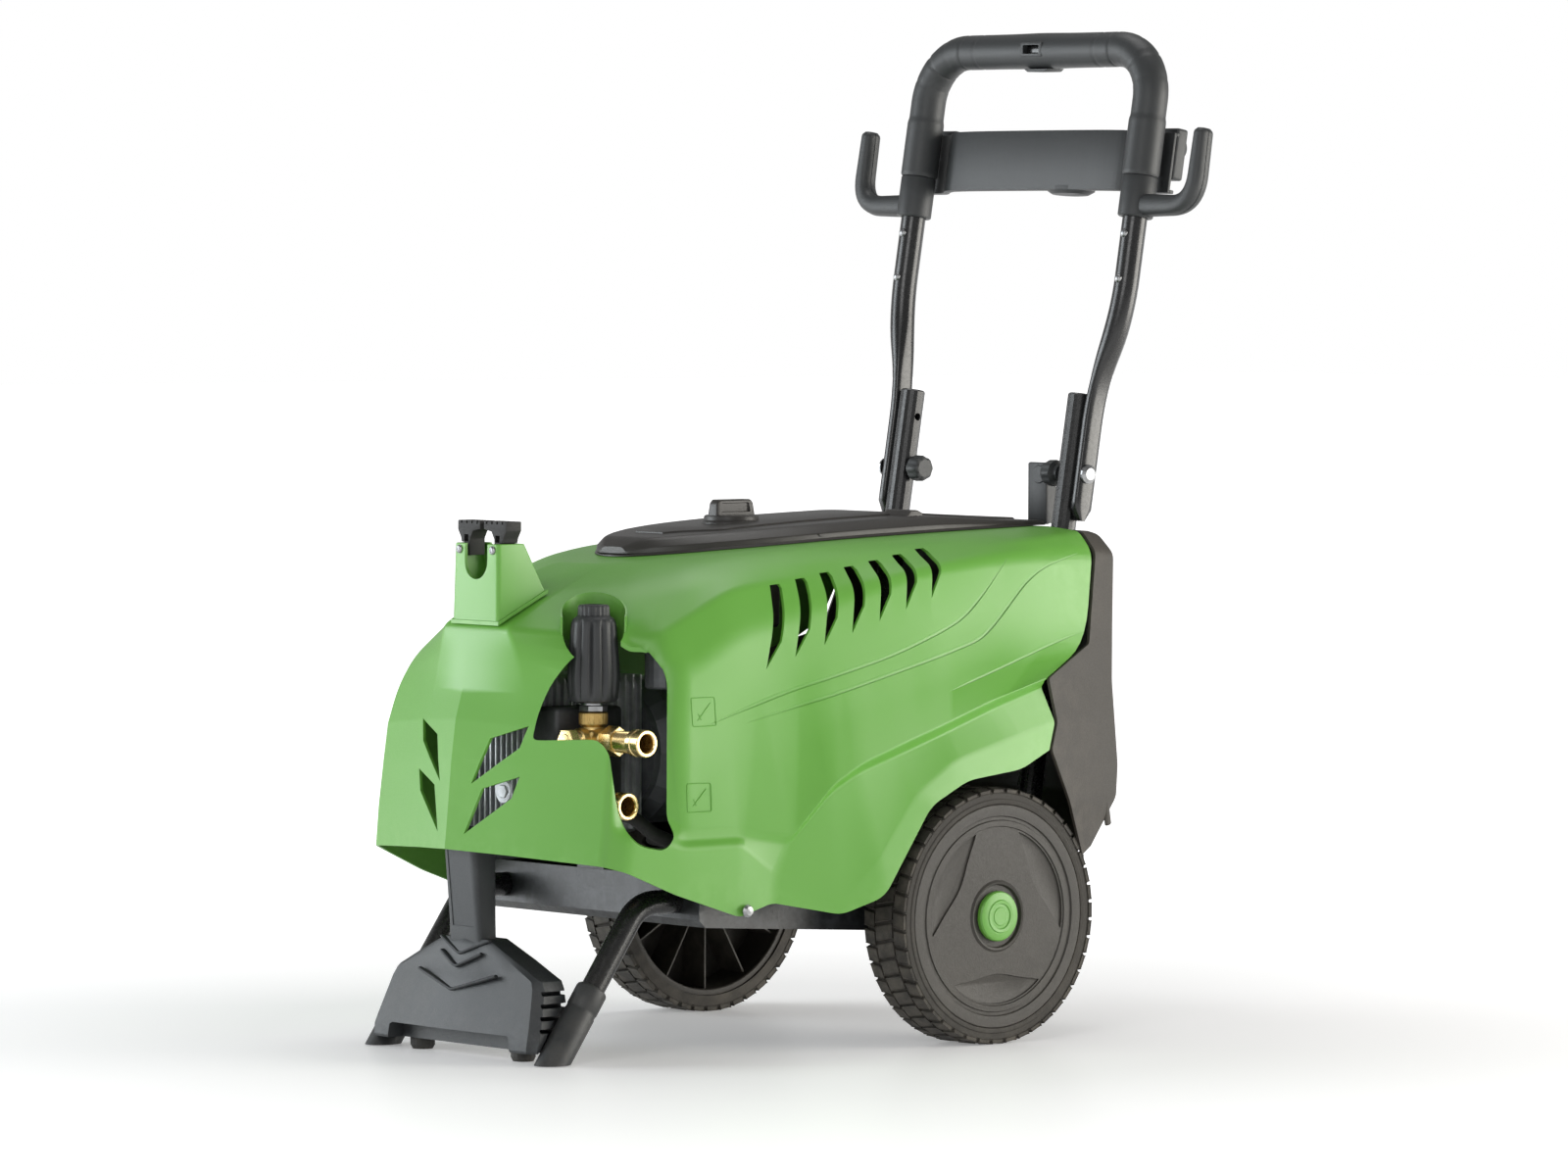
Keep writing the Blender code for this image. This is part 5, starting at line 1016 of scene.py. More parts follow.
def build_band():
    """The bowed band across the handle and its two clamp blocks."""
    middle = (0.284 + 0.345) / 2
    anchor = handle_point(middle, 0)
    run = [(0.0, 0.0030), (0.060, 0.0034), (0.100, 0.0044), (0.126, 0.0068), (0.140, 0.0135), (0.147, 0.0200),
           (0.156, 0.0240), (0.182, 0.0240)]
    front = rounded([Vector((x, y, 0)) for x, y in run], 0.012, 3)
    line = [(-p.x, p.y) for p in reversed(front)] + [(p.x, p.y) for p in front[1:]]
    outline = line + [(x, y + 0.0035) for x, y in reversed(line)]
    plate = pushed(outline, -0.0305, 0.0305, "Z", 0.0009)
    border = [(x, y + 0.0032) for x, y in line] + [(x, y + 0.0085) for x, y in reversed(line)]
    lip, rim = (pushed(border, low, low + 0.0035, "Z", 0.0006) for low in (-0.0305, 0.0270))
    bulge = turned([(0, -0.0345), (0.020, -0.0335), (0.026, -0.0300), (0.026, -0.026), (0, -0.026)], 40)
    bmesh.ops.scale(bulge, vec=(1.25, 0.55, 1), verts=bulge.verts)
    moved(bulge, (0.048, 0.017, 0))
    bm = joined(plate, lip, rim, bulge)
    leaned(bm, anchor)
    set_down("bowed_band", bm, SOFT_BLACK, "handle", ("band_plate",), 30)
    for side, sign in SIDES:
        body = block((-0.0165, 0.0279, -0.016), (0.0165, 0.0428, 0.036), 0.0028, 3)
        reach = 0.0520
        dome = turned([(0, reach), (0.005, reach - 0.0006), (0.0100, reach - 0.0028),
                       (0.0132, reach - 0.0062),
                       (0.0145, reach - 0.0110), (0.0145, reach - 0.0165), (0, reach - 0.0165)], 40, "Y",
                      (0, 0, 0.017))
        notches = round_about(lambda: rod(0.0016, reach - 0.0155, reach - 0.002, 10, "Y", (0.0152, 0, 0)),
                              10, "Y")
        notches = [moved(notch, (0, 0, 0.017)) for notch in notches]
        dome = carved(dome, notches)
        bm = joined(body, dome)
        leaned(bm, anchor + RIGHT * (sign * HANDLE_X))
        set_down("band_clamp_block_" + side, bm, SOFT_BLACK, "handle",
                 ("band_clamp_" + side,), 30)


def build_rivets():
    """Two round rivets in the front of each leg."""
    for side, sign in SIDES:
        for name, height in RIVETS:
            spot = handle_point(height, sign * HANDLE_X) - BACK * TUBE_R
            bm = turned([(0, -0.0027), (0.0016, -0.0025), (0.0030, -0.0019), (0.0040, -0.0010),
                         (0.0044, 0.0001),
                         (0.0044, 0.0008), (0.0024, 0.0008), (0.0024, 0.0035), (0, 0.0035)], 24, "Y")
            leaned(bm, spot)
            set_down("round_rivet_%s_%s" % (name, side), bm, STEEL, "handle",
                     ("rivet_%s_%s" % (name, side),), 30)


def build_clamp_knob(side, sign):
    """A small star knob on the inside of each frame tube, bored for its bolt."""
    top = FRAME_TUBE_X - TUBE_R - 0.0008
    rows = []
    for x, radius, wave in ((top, 0.0080, 0), (top - 0.0040, 0.0085, 0), (top - 0.0060, 0.0128, 0.2),
                            (top - 0.0075, 0.0133, 1), (top - 0.0165, 0.0130, 1), (top - 0.0190, 0.0118, 0.6),
                            (top - 0.0204, 0.0090, 0.1)):
        rows.append([Vector((x,
                             (radius - wave * 0.0011 * (0.5 - 0.5 * math.cos(8 * angle))) * math.cos(angle),
                             (radius - wave * 0.0011 * (0.5 - 0.5 * math.cos(8 * angle))) * math.sin(angle)))
                     for angle in [2 * math.pi * step / 64 for step in range(64)]])
    bm = drape(rows, closed=True, ends=True)
    bore = rod(0.0047, top - 0.0170, top + 0.01, 24, "X")
    bm = carved(bm, [bore])
    if sign < 0:
        turn_about(bm, math.pi, "Z")
    moved(bm, (0, PIVOT_Y, PIVOT_Z))
    set_down("star_knob_" + side, bm, SOFT_BLACK, "clamp_knob_" + side,
             ("clamp_knob_" + side,), 30)


# ---------------------------------------------------------------- top panel and switch
def roof_z(y):
    """The height of the hood's top edge at a place along the machine."""
    crest = [Vector(column[8]) / 1000 for column in HOOD_COLUMNS]
    for first, second in zip(crest, crest[1:]):
        if first.y <= y <= second.y:
            return mix(first.z, second.z, (y - first.y) / (second.y - first.y))
    return crest[0].z if y < crest[0].y else crest[-1].z


PANEL_FRONT, PANEL_REAR, PANEL_HALF, PANEL_FALL = -0.291, 0.186, 0.106, 0.020
SWITCH_Y, SWITCH_R = -0.136, 0.030


def panel_row(y, base_extra, low, high, shrink):
    """One cross-section of the top panel, round in plan at the nose and falling to the rear."""
    nose = 0.42 * (PANEL_REAR - PANEL_FRONT)
    along = min(1.0, (y - PANEL_FRONT + 0.0004) / nose)
    half = PANEL_HALF * math.sqrt(max(0.0, 1 - (1 - along) ** 2)) - shrink
    half = max(half, 0.002)
    base = roof_z(y) + 0.0006 + base_extra
    fall = eased((y - PANEL_FALL) / (PANEL_REAR - PANEL_FALL))
    tall = mix(high, low, fall) * min(1.0, 0.30 + (y - PANEL_FRONT) / 0.026)
    slope = min(tall * 0.95, half * 0.4)
    right = rounded([Vector((half, y, base)), Vector((half - 0.0010, y, base + tall * 0.35)),
                     Vector((half - slope, y, base + tall)), Vector((0, y, base + tall + 0.0004))],
                    [0.0012, 0.0050], 5)
    return right + [Vector((-p.x, p.y, p.z)) for p in reversed(right[:-1])]


def switch_seat():
    """The floor of the round well that the switch knob sits in."""
    return roof_z(SWITCH_Y) + 0.0155 + 0.0008 - 0.008


def build_top_panel():
    """Flange, crown, raised spine and stop of the black top panel."""
    stations = [PANEL_FRONT + 0.0002, PANEL_FRONT + 0.0015, PANEL_FRONT + 0.0040, PANEL_FRONT + 0.0080,
                PANEL_FRONT + 0.0130, PANEL_FRONT + 0.0190, PANEL_FRONT + 0.0260]
    while stations[-1] < PANEL_REAR - 0.009:
        stations.append(stations[-1] + 0.008)
    stations.append(PANEL_REAR)
    flange = drape([panel_row(y, 0.0, 0.0022, 0.0030, 0.0) for y in stations], closed=True, ends=True)
    crown = drape([panel_row(y, 0.0024, 0.0022, 0.0133, 0.0022) for y in stations[2:]], closed=True,
                  ends=True)
    ridge = []
    for y in stations[9:]:
        base = roof_z(y) + 0.0006
        fall = eased((y - PANEL_FALL) / (PANEL_REAR - PANEL_FALL))
        top = base + mix(0.0178, 0.0065, fall)
        grow = eased((y - stations[9]) / 0.05)
        half = mix(0.020, 0.058, grow)
        ridge.append([Vector((half + 0.006, y, base + 0.002)), Vector((half, y, top)),
                      Vector((-half, y, top)),
                      Vector((-half - 0.006, y, base + 0.002))])
    spine = drape(ridge, closed=True, ends=True)
    level_edges = [e for e in spine.edges if abs(e.verts[0].co.z - e.verts[1].co.z) < 0.002]
    soften(spine, [e for e in level_edges if e.calc_length() > 0.004], 0.0010)
    bmesh.ops.triangulate(spine, faces=[f for f in spine.faces if len(f.verts) > 4])
    seat = switch_seat()
    well = turned([(0, seat - 0.0004), (SWITCH_R + 0.0040, seat - 0.0004), (SWITCH_R + 0.0052, seat + 0.010),
                   (SWITCH_R + 0.0052, seat + 0.03), (0, seat + 0.03)], 56, "Z", (0, SWITCH_Y, 0))
    hole = rod(0.006, 0.44, 0.53, 24, "Z", (0, SWITCH_Y, 0))
    # the split between the front nose piece and the main cover, cut as a thin slot
    line = []
    for step in range(41):
        x = PANEL_HALF * (step / 20 - 1)
        line.append(Vector((x, -0.205 + 0.10 * (x / PANEL_HALF) ** 2,
                            roof_z(-0.205) + 0.0146 - 0.20 * max(0.0, abs(x) - 0.088))))
    split = sweep(line, 0.0007, 0.0016, REARWARD, 8)
    flange = carved(flange, [hole.copy(), well.copy()])
    crown = carved(crown, [hole, well, split])
    pad = roof_z(PANEL_FALL) - 0.0002
    fin = [(0.000, 0.0045), (0.034, 0.0045), (0.034, 0.019), (0.026, 0.0225), (0.017, 0.0225),
           (0.006, 0.0120)]
    stop = pushed([(PANEL_FALL - 0.012 + y, pad + z) for y, z in fin], PANEL_HALF * 0.45, PANEL_HALF * 0.80,
                  "X", 0.0016, 3)
    bm = joined(flange, crown, spine, stop)
    set_down("roof_cover", bm, PANEL_BLACK, "body", ("top_panel",), 30, True)


def build_switch_knob():
    """Two round tiers and a raised bar to turn them by, on a shaft through the roof."""
    seat = switch_seat()
    r = SWITCH_R
    base = turned([(0, 0.0165), (r * 0.84, 0.0165), (r * 0.88, 0.0160), (r * 0.905, 0.0142),
                   (r * 0.905, 0.0118),
                   (r * 0.925, 0.0108), (r * 0.965, 0.0102), (r * 0.985, 0.0088), (r, 0.0060), (r, 0.0008),
                   (r - 0.0008, 0), (0.0042, 0), (0.0042, -0.036), (0, -0.036)], 72)
    half = r * 0.84
    outline = [(-half, 0.012), (half, 0.012), (half * 0.93, 0.0282), (half * 0.80, 0.0320),
               (-half * 0.80, 0.0320), (-half * 0.93, 0.0282)]
    bar = pushed(outline, -0.0062, 0.0062, "X", 0.0016, 3)
    for vert in bar.verts:
        vert.co.x *= 1.0 + 0.55 * (1 - eased((vert.co.z - 0.013) / 0.010)) * 0.5
    hollows = []
    for sign in (-1, 1):
        low, high = sorted((sign * 0.0046, sign * 0.012))
        hollows.append(pushed([(-half * 0.74, 0.0196), (half * 0.74, 0.0196), (half * 0.70, 0.0288),
                               (-half * 0.70, 0.0288)], low, high, "X", 0.0006, 1))
    bar = carved(bar, hollows)
    notches = round_about(lambda: rod(0.0007, 0.0005, 0.0095, 8, "Z", (r + 0.0001, 0, 0)), 24, "Z")
    base = carved(base, notches)
    bm = joined(base, bar)
    moved(bm, (0, SWITCH_Y, seat))
    set_down("rotary_switch_knob", bm, PANEL_BLACK, "power_switch", ("power_switch_knob",),
             30)


# ---------------------------------------------------------------- pressure regulator
def build_pressure_knob():
    """Fluted hand knob: a wide skirt, twelve flutes and a narrower ribbed cap."""
    tall = KNOB_HIGH - KNOB_LOW
    profile = [(0.0036, 0.0, 0), (0.0190, 0.0, 0), (0.0222, 0.0012, 0), (0.0236, 0.0040, 0.25),
               (0.0243, 0.010, 0.8),
               (0.0250, 0.020, 1), (0.0252, 0.026, 1), (0.0247, 0.036, 1), (0.0238, 0.048, 1),
               (0.0229, 0.060, 1),
               (0.0222, 0.070, 1), (0.0215, 0.0755, 0.7), (0.0200, 0.0790, 0.25), (0.0188, 0.0800, 0),
               (0.0170, 0.0812, 0), (0.0158, 0.0822, 0.4), (0.0154, 0.0832, 1.0), (0.0152, 0.0900, 1.0),
               (0.0148, 0.0915, 0.6), (0.0136, 0.0926, 0), (0.0100, 0.0930, 0), (0.0090, 0.0914, 0),
               (0.0040, 0.0912, 0)]
    rows = []
    for radius, height, flute in profile:
        row = []
        fine = height > 0.0815
        count = 20 if fine else 12
        deep = 0.0010 if fine else 0.0030
        for step in range(144):
            angle = 2 * math.pi * step / 144
            wave = 0.5 - 0.5 * math.cos(count * angle)
            cut = deep * flute * wave ** (1.2 if fine else 4.0)
            row.append(Vector((REG_X + (radius - cut) * math.cos(angle),
                               REG_Y + (radius - cut) * math.sin(angle),
                               KNOB_LOW + min(height, tall))))
        rows.append(row)
    bm = drape(rows, closed=True, ends=True)
    shaft = turned([(0, KNOB_LOW - 0.022), (0.0026, KNOB_LOW - 0.022), (0.0034, KNOB_LOW + 0.001),
                    (0, KNOB_LOW + 0.001)],
                   20, "Z", (REG_X, REG_Y, 0))
    bm = joined(bm, shaft)
    set_down("fluted_pressure_knob", bm, SOFT_BLACK, "pressure_knob", ("pressure_knob",), 35)


def hexagon(flats, start, end, axis, center, edge=0.0006):
    """A hexagonal nut or plug by its width over the flats."""
    radius = flats / math.sqrt(3)
    bm = turned([(0, start), (radius - edge, start), (radius, start + edge), (radius, end - edge),
                 (radius - edge, end), (0, end)], 6, axis)
    return moved(bm, center)


def threads(radius, start, end, pitch, deep):
    """The turned profile of a coarse thread between two places."""
    points = []
    count = int((end - start) / pitch)
    for number in range(count):
        at = start + number * pitch
        points += [(radius, at), (radius - deep, at + pitch * 0.5)]
    points.append((radius, start + count * pitch))
    return points


def build_regulator():
    """Brass body with its knurled stem, side port, end plug and lock nut."""
    top = KNOB_LOW - 0.0095
    z = OUT_Z
    stem = turned([(0.0044, top), (0.0130, top), (0.0138, top - 0.0010), (0.0138, top - 0.0115),
                   (0.0129, top - 0.0128), (0.0118, top - 0.0140), (0.0118, top - 0.0165),
                   (0.0125, top - 0.0175),
                   (0.0125, z - 0.0125), (0.0112, z - 0.0140), (0.0, z - 0.0140)], 56, "Z", (REG_X, REG_Y, 0))
    grips = round_about(lambda: rod(0.0005, top - 0.0110, top - 0.0012, 6, "Z", (0.01385, 0, 0)), 40, "Z")
    grips = [moved(groove, (REG_X, REG_Y, 0)) for groove in grips]
    stem = carved(stem, [rod(0.0044, top - 0.03, top + 0.01, 24, "Z",
                                (REG_X, REG_Y, 0))])
    stem = carved(stem, grips)
    lug = turned([(0, -0.0168), (0.0102, -0.0168), (0.0120, -0.0150), (0.0120, 0.0195), (0.0108, 0.0212),
                  (NIPPLE_BORE + 0.0002, 0.0214), (NIPPLE_BORE + 0.0002, 0.0090), (0, 0.0090)], 48, "X",
                 (REG_X, REG_Y, z))
    front = turned([(0, -0.0208), (0.0100, -0.0208), (0.0114, -0.0192), (0.0114, -0.002), (0, -0.002)], 48,
                   "Y", (REG_X, REG_Y, z))
    shoulder = block((REG_X - 0.0128, REG_Y - 0.0128, z - 0.0115),
                     (REG_X + 0.0128, REG_Y + 0.0128, z + 0.0100), 0.0038, 4)
    bm = joined(stem, lug, front, shoulder)
    set_down("regulator_casting", bm, BRASS, "body", ("unloader_body",), 35)
    plug = hexagon(0.021, 0.0, 0.0102, "Y", (REG_X, REG_Y - 0.0349, z))
    collar = turned([(0, 0), (0.0102, 0), (0.0106, 0.0008), (0.0106, 0.0034), (0, 0.0034)], 40, "Y",
                    (REG_X, REG_Y - 0.0248, z))
    end = turned([(0, -0.0008), (0.0064, -0.0006), (0.0072, 0.0004), (0, 0.0004)], 32, "Y",
                 (REG_X, REG_Y - 0.0349, z))
    set_down("hex_end_plug", joined(plug, collar, end), TURNED_BRASS, "body", ("unloader_plug",), 30)
    nut = hexagon(0.0236, top + 0.0005, top + 0.0066, "Z", (REG_X, REG_Y, 0), 0.0008)
    washer = turned([(0.0046, top + 0.0066), (0.0112, top + 0.0066), (0.0112, top + 0.0086),
                     (0.0046, top + 0.0086)], 40,
                    "Z", (REG_X, REG_Y, 0))
    set_down("lock_nut", joined(nut, washer), STEEL, "body", ("unloader_nut",), 30)


NIPPLE_BORE = 0.0085


def build_nipple(name, node, height, start, end, hex_long):
    """A turned coupling: hexagon, waist with a groove, and a wide ring at its mouth."""
    ring_r = 0.0131
    neck = 0.0105
    profile = [(NIPPLE_BORE, start + 0.0004), (neck, start + 0.0004), (neck, start + hex_long)]
    profile += threads(neck, start + hex_long + 0.0006, end - 0.0200, 0.0016, 0.0005)
    profile += [(neck, end - 0.0196), (ring_r - 0.0006, end - 0.0180), (ring_r, end - 0.0172),
                (ring_r, end - 0.0120), (ring_r - 0.0008, end - 0.0112), (ring_r - 0.0008, end - 0.0098),
                (ring_r, end - 0.0090), (ring_r, end - 0.0010), (ring_r - 0.0010, end),
                (NIPPLE_BORE + 0.0014, end), (NIPPLE_BORE + 0.0004, end - 0.0010),
                (NIPPLE_BORE, end - 0.0024),
                (NIPPLE_BORE, start + 0.0004)]
    tube = turned(profile, 64, "X", (0, REG_Y, height))
    grip = hexagon(0.0254, start + 0.0004, start + hex_long, "X", (0, REG_Y, height), 0.0008)
    bore = rod(NIPPLE_BORE + 0.0003, start - 0.01, start + 0.05, 32, "X", (0, REG_Y, height))
    grip = carved(grip, [bore])
    set_down(name, joined(tube, grip), TURNED_BRASS, "body", (node,), 30)


def build_pump():
    """Crankcase with cooling fins and a bolted head, behind the nose vents."""
    front, rear = -0.432, -0.2854
    body = block((-0.040, front + 0.010, 0.208), (0.040, rear, 0.358), 0.006, 3)
    fins = []
    for number in range(11):
        x = -0.0415 + number * 0.0083
        fins.append(block((x - 0.0014, front, 0.207), (x + 0.0014, front + 0.020, 0.360), 0.0008, 2))
    for number in range(14):
        y = -0.412 + number * 0.0095
        fins.append(block((-0.0455, y - 0.0012, 0.212), (0.0455, y + 0.0012, 0.3615), 0.0007, 2))
    eye = turned([(0.0042, 0), (0.0090, 0), (0.0098, 0.0010), (0.0098, 0.010), (0.0042, 0.010),
                  (0.0042, 0)], 32, "Y",
                 (0.034, front - 0.0006, 0.334))
    boss = turned([(0, 0), (0.0110, 0), (0.0128, 0.0016), (0.0128, 0.012), (0, 0.012)], 32, "Y",
                  (0.012, front - 0.0004, 0.252))
    plug = hexagon(0.012, -0.0016, 0.0030, "Y", (0.012, front, 0.252))
    shaft_well = rod(0.0101, rear - 0.056, rear + 0.01, 32, "Y",
                        (0, 0, 0.285))
    body = carved(body, [shaft_well])
    set_down("finned_crankcase", joined(body, eye, boss, plug, *fins), CAST_ALUMINIUM, "body",
             ("pump_crankcase",), 30)
    low_x, high_x = 0.0464, REG_X - 0.0175
    head = block((low_x, -0.428, 0.218), (high_x, -0.345, KNOB_LOW - 0.006), 0.005, 3)
    extras = []
    for z in (0.232, 0.262, 0.292, 0.322):
        for y in (-0.416, -0.358):
            extras.append(hexagon(0.0088, high_x - 0.0030, high_x - 0.0002, "X", (0, y, z), 0.0005))
            extras.append(rod(0.0066, high_x - 0.0034, high_x - 0.0026, 24, "X", (0, y, z)))
    for number in range(3):
        z = 0.247 + number * 0.030
        extras.append(turned([(0, high_x - 0.0040), (0.0100, high_x - 0.0040), (0.0108, high_x - 0.0030),
                              (0.0108, high_x - 0.0004), (0, high_x - 0.0004)], 32, "X", (0, -0.3715, z)))
    set_down("bolted_pump_head", joined(head, *extras), DARK_CASTING, "body",
             ("pump_head",), 30)


def build_bypass_hose():
    """A short bent hose from the pump head to the crankcase, with a band at each end."""
    start_x = REG_X - 0.0175 + 0.0004
    points = [Vector((start_x, -0.365, 0.232)), Vector((0.125, -0.365, 0.232)),
              Vector((0.136, -0.350, 0.215)),
              Vector((0.130, -0.318, 0.205)), Vector((0.0765, -0.300, 0.205))]
    path = stretched(rounded(points, 0.02, 6), 0.003)
    hose = sweep(path, 0.0066, 0.0066, RISE, 28)
    bands = []
    for at in (2, len(path) - 4):
        point, ahead = path[at], (path[at + 1] - path[at]).normalized()
        band = sweep([point, point + ahead * 0.006], 0.0068, 0.0068, RISE, 28)
        bands.append(band)
    set_down("bypass_hose_bend", joined(hose, *bands), DARK_RUBBER, "body", ("bypass_hose",), 35)


# ---------------------------------------------------------------- lance holder
def build_lance_holder():
    """The hollow holder tower with a round notch, and its two screws."""
    front_y, front_z, rear_y, rear_z = -0.458, 0.412, -0.402, 0.442
    half, top = 0.035, 0.490
    depth = rear_y - front_y

    def level(share):
        """A rounded rectangle, wide at the foot and narrow at the crown."""
        low_front, low_rear = front_z + 0.0012, rear_z + 0.0012
        half_front = mix(half, half - 0.0016, share)
        half_rear = mix(half + 0.005, half - 0.0016, share)
        y_front = mix(front_y + 0.0005, front_y + 0.0018, share)
        y_rear = mix(rear_y, front_y + depth * 0.62, share)
        z_front, z_rear = mix(low_front, top, share), mix(low_rear, top, share)
        corners = [Vector((0, y_front, z_front)), Vector((half_front, y_front, z_front)),
                   Vector((half_rear, y_rear, z_rear)), Vector((-half_rear, y_rear, z_rear)),
                   Vector((-half_front, y_front, z_front)), Vector((0, y_front, z_front))]
        return rounded(corners, [0.0042, 0.0030, 0.0030, 0.0042], 4)[:-1]
    rows = [level(0.0), level(0.02), level(0.12), level(0.3), level(0.5), level(0.7), level(0.86),
            level(0.96)]
    crown = level(0.99)
    rows.append(crown)
    middle = front_y + depth * 0.31
    rows.append([Vector((p.x * 0.985, mix(middle, p.y, 0.96), top)) for p in crown])
    tower = drape(rows, closed=True, ends=True)
    inner = []
    for share, z_lift in ((0.0, -0.012), (0.3, 0.0), (0.7, 0.0), (1.02, 0.006)):
        inner.append([Vector((p.x * 0.885, mix(middle + 0.006 * (1 - share), p.y, 0.80), p.z + z_lift))
                      for p in level(min(share, 1.0))])
    hollow = drape(inner, closed=True, ends=True)
    notch_z = top - 0.017
    outline = [(0.0172, top + 0.03), (0.0172, notch_z)]
    outline += [(0.0172 * math.cos(math.pi * s / 24),
                 notch_z - 0.0172 * math.sin(math.pi * s / 24)) for s in range(1, 24)]
    outline += [(-0.0172, notch_z), (-0.0172, top + 0.03)]
    notch = pushed(outline, front_y - 0.01, rear_y + 0.01, "Y")
    tower = carved(tower, [hollow, notch])
    pad = []
    for y, z, grow in ((front_y - 0.0002, front_z, 0.0), (rear_y + 0.0006, rear_z, 0.0055)):
        pad.append([Vector((half + 0.0012 + grow, y, z + 0.0006)),
                    Vector((half + 0.0012 + grow, y, z + 0.0042)),
                    Vector((-half - 0.0012 - grow, y, z + 0.0042)),
                    Vector((-half - 0.0012 - grow, y, z + 0.0006))])
    strip = drape(pad, closed=True, ends=True)
    bm = joined(tower, strip)
    set_down("hollow_lance_holder", bm, GREEN, "body", ("lance_holder",), 30)
    for side, sign in SIDES:
        spot = Vector((sign * 0.0252, front_y + 0.0018, top - 0.006))
        screw = turned([(0, -0.0028), (0.0016, -0.0027), (0.0030, -0.0022), (0.0039, -0.0013),
                        (0.0042, -0.0004),
                        (0.0042, 0.0), (0.0018, 0.0), (0.0018, 0.0052), (0, 0.0052)], 28, "Y")
        cross = [block((-0.0019, -0.005, -0.0004), (0.0019, -0.0019, 0.0004)),
                 block((-0.0004, -0.005, -0.0019), (0.0004, -0.0019, 0.0019))]
        set_down("pan_head_screw_" + side, moved(carved(screw, cross), spot), STEEL, "body",
                 ("holder_screw_" + side,), 25)


def build_clip():
    """Rubber clip across the holder: two splayed ribbed ears on legs inside the tower."""
    front_y, top = -0.458, 0.490
    inside = (0.035 - 0.002) * 0.86 - 0.0006
    start, end = front_y + 0.0087, front_y + 0.0273
    half = [(0.0028, top + 0.0215), (0.0372, top + 0.0215), (0.0372, top + 0.0125), (0.0325, top + 0.0050),
            (0.0315, top + 0.0006), (inside, top + 0.0006), (inside, top - 0.012), (0.0184, top - 0.012),
            (0.0184, top + 0.0040), (0.0140, top + 0.0115), (0.0028, top + 0.0135)]
    ears = []
    for sign in (-1, 1):
        ears.append(pushed([(sign * x, z) for x, z in half], start, end, "Y", 0.0008, 2))
    body = joined(*ears)
    slots = []
    for sign in (-1, 1):
        slots.append(block((sign * 0.0238 - 0.0034, start - 0.004, top + 0.0012),
                           (sign * 0.0238 + 0.0034, start + 0.005,
                                                                                   top + 0.0080), 0.0006, 1))
    ridge_cuts = []
    for sign in (-1, 1):
        for number in range(4):
            x = sign * (0.0072 + number * 0.0080)
            ridge_cuts.append(block((x - 0.0011, start - 0.002, top + 0.0186),
                                    (x + 0.0011, end + 0.002, top + 0.0300)))
    body = carved(body, slots + ridge_cuts)
    set_down("ribbed_rubber_clip", body, DARK_RUBBER, "body", ("holder_clip",), 30)


# ---------------------------------------------------------------- front stand
FOOT_FRONT, STAND_X = -0.494, 0.130


def stand_leg(sign):
    """Where a stand tube meets the floor, and the way it points there."""
    low, high = Vector((sign * STAND_X, -0.468, 0.0)), Vector((sign * STAND_X, -0.392, 0.116))
    return low, (low - high).normalized()


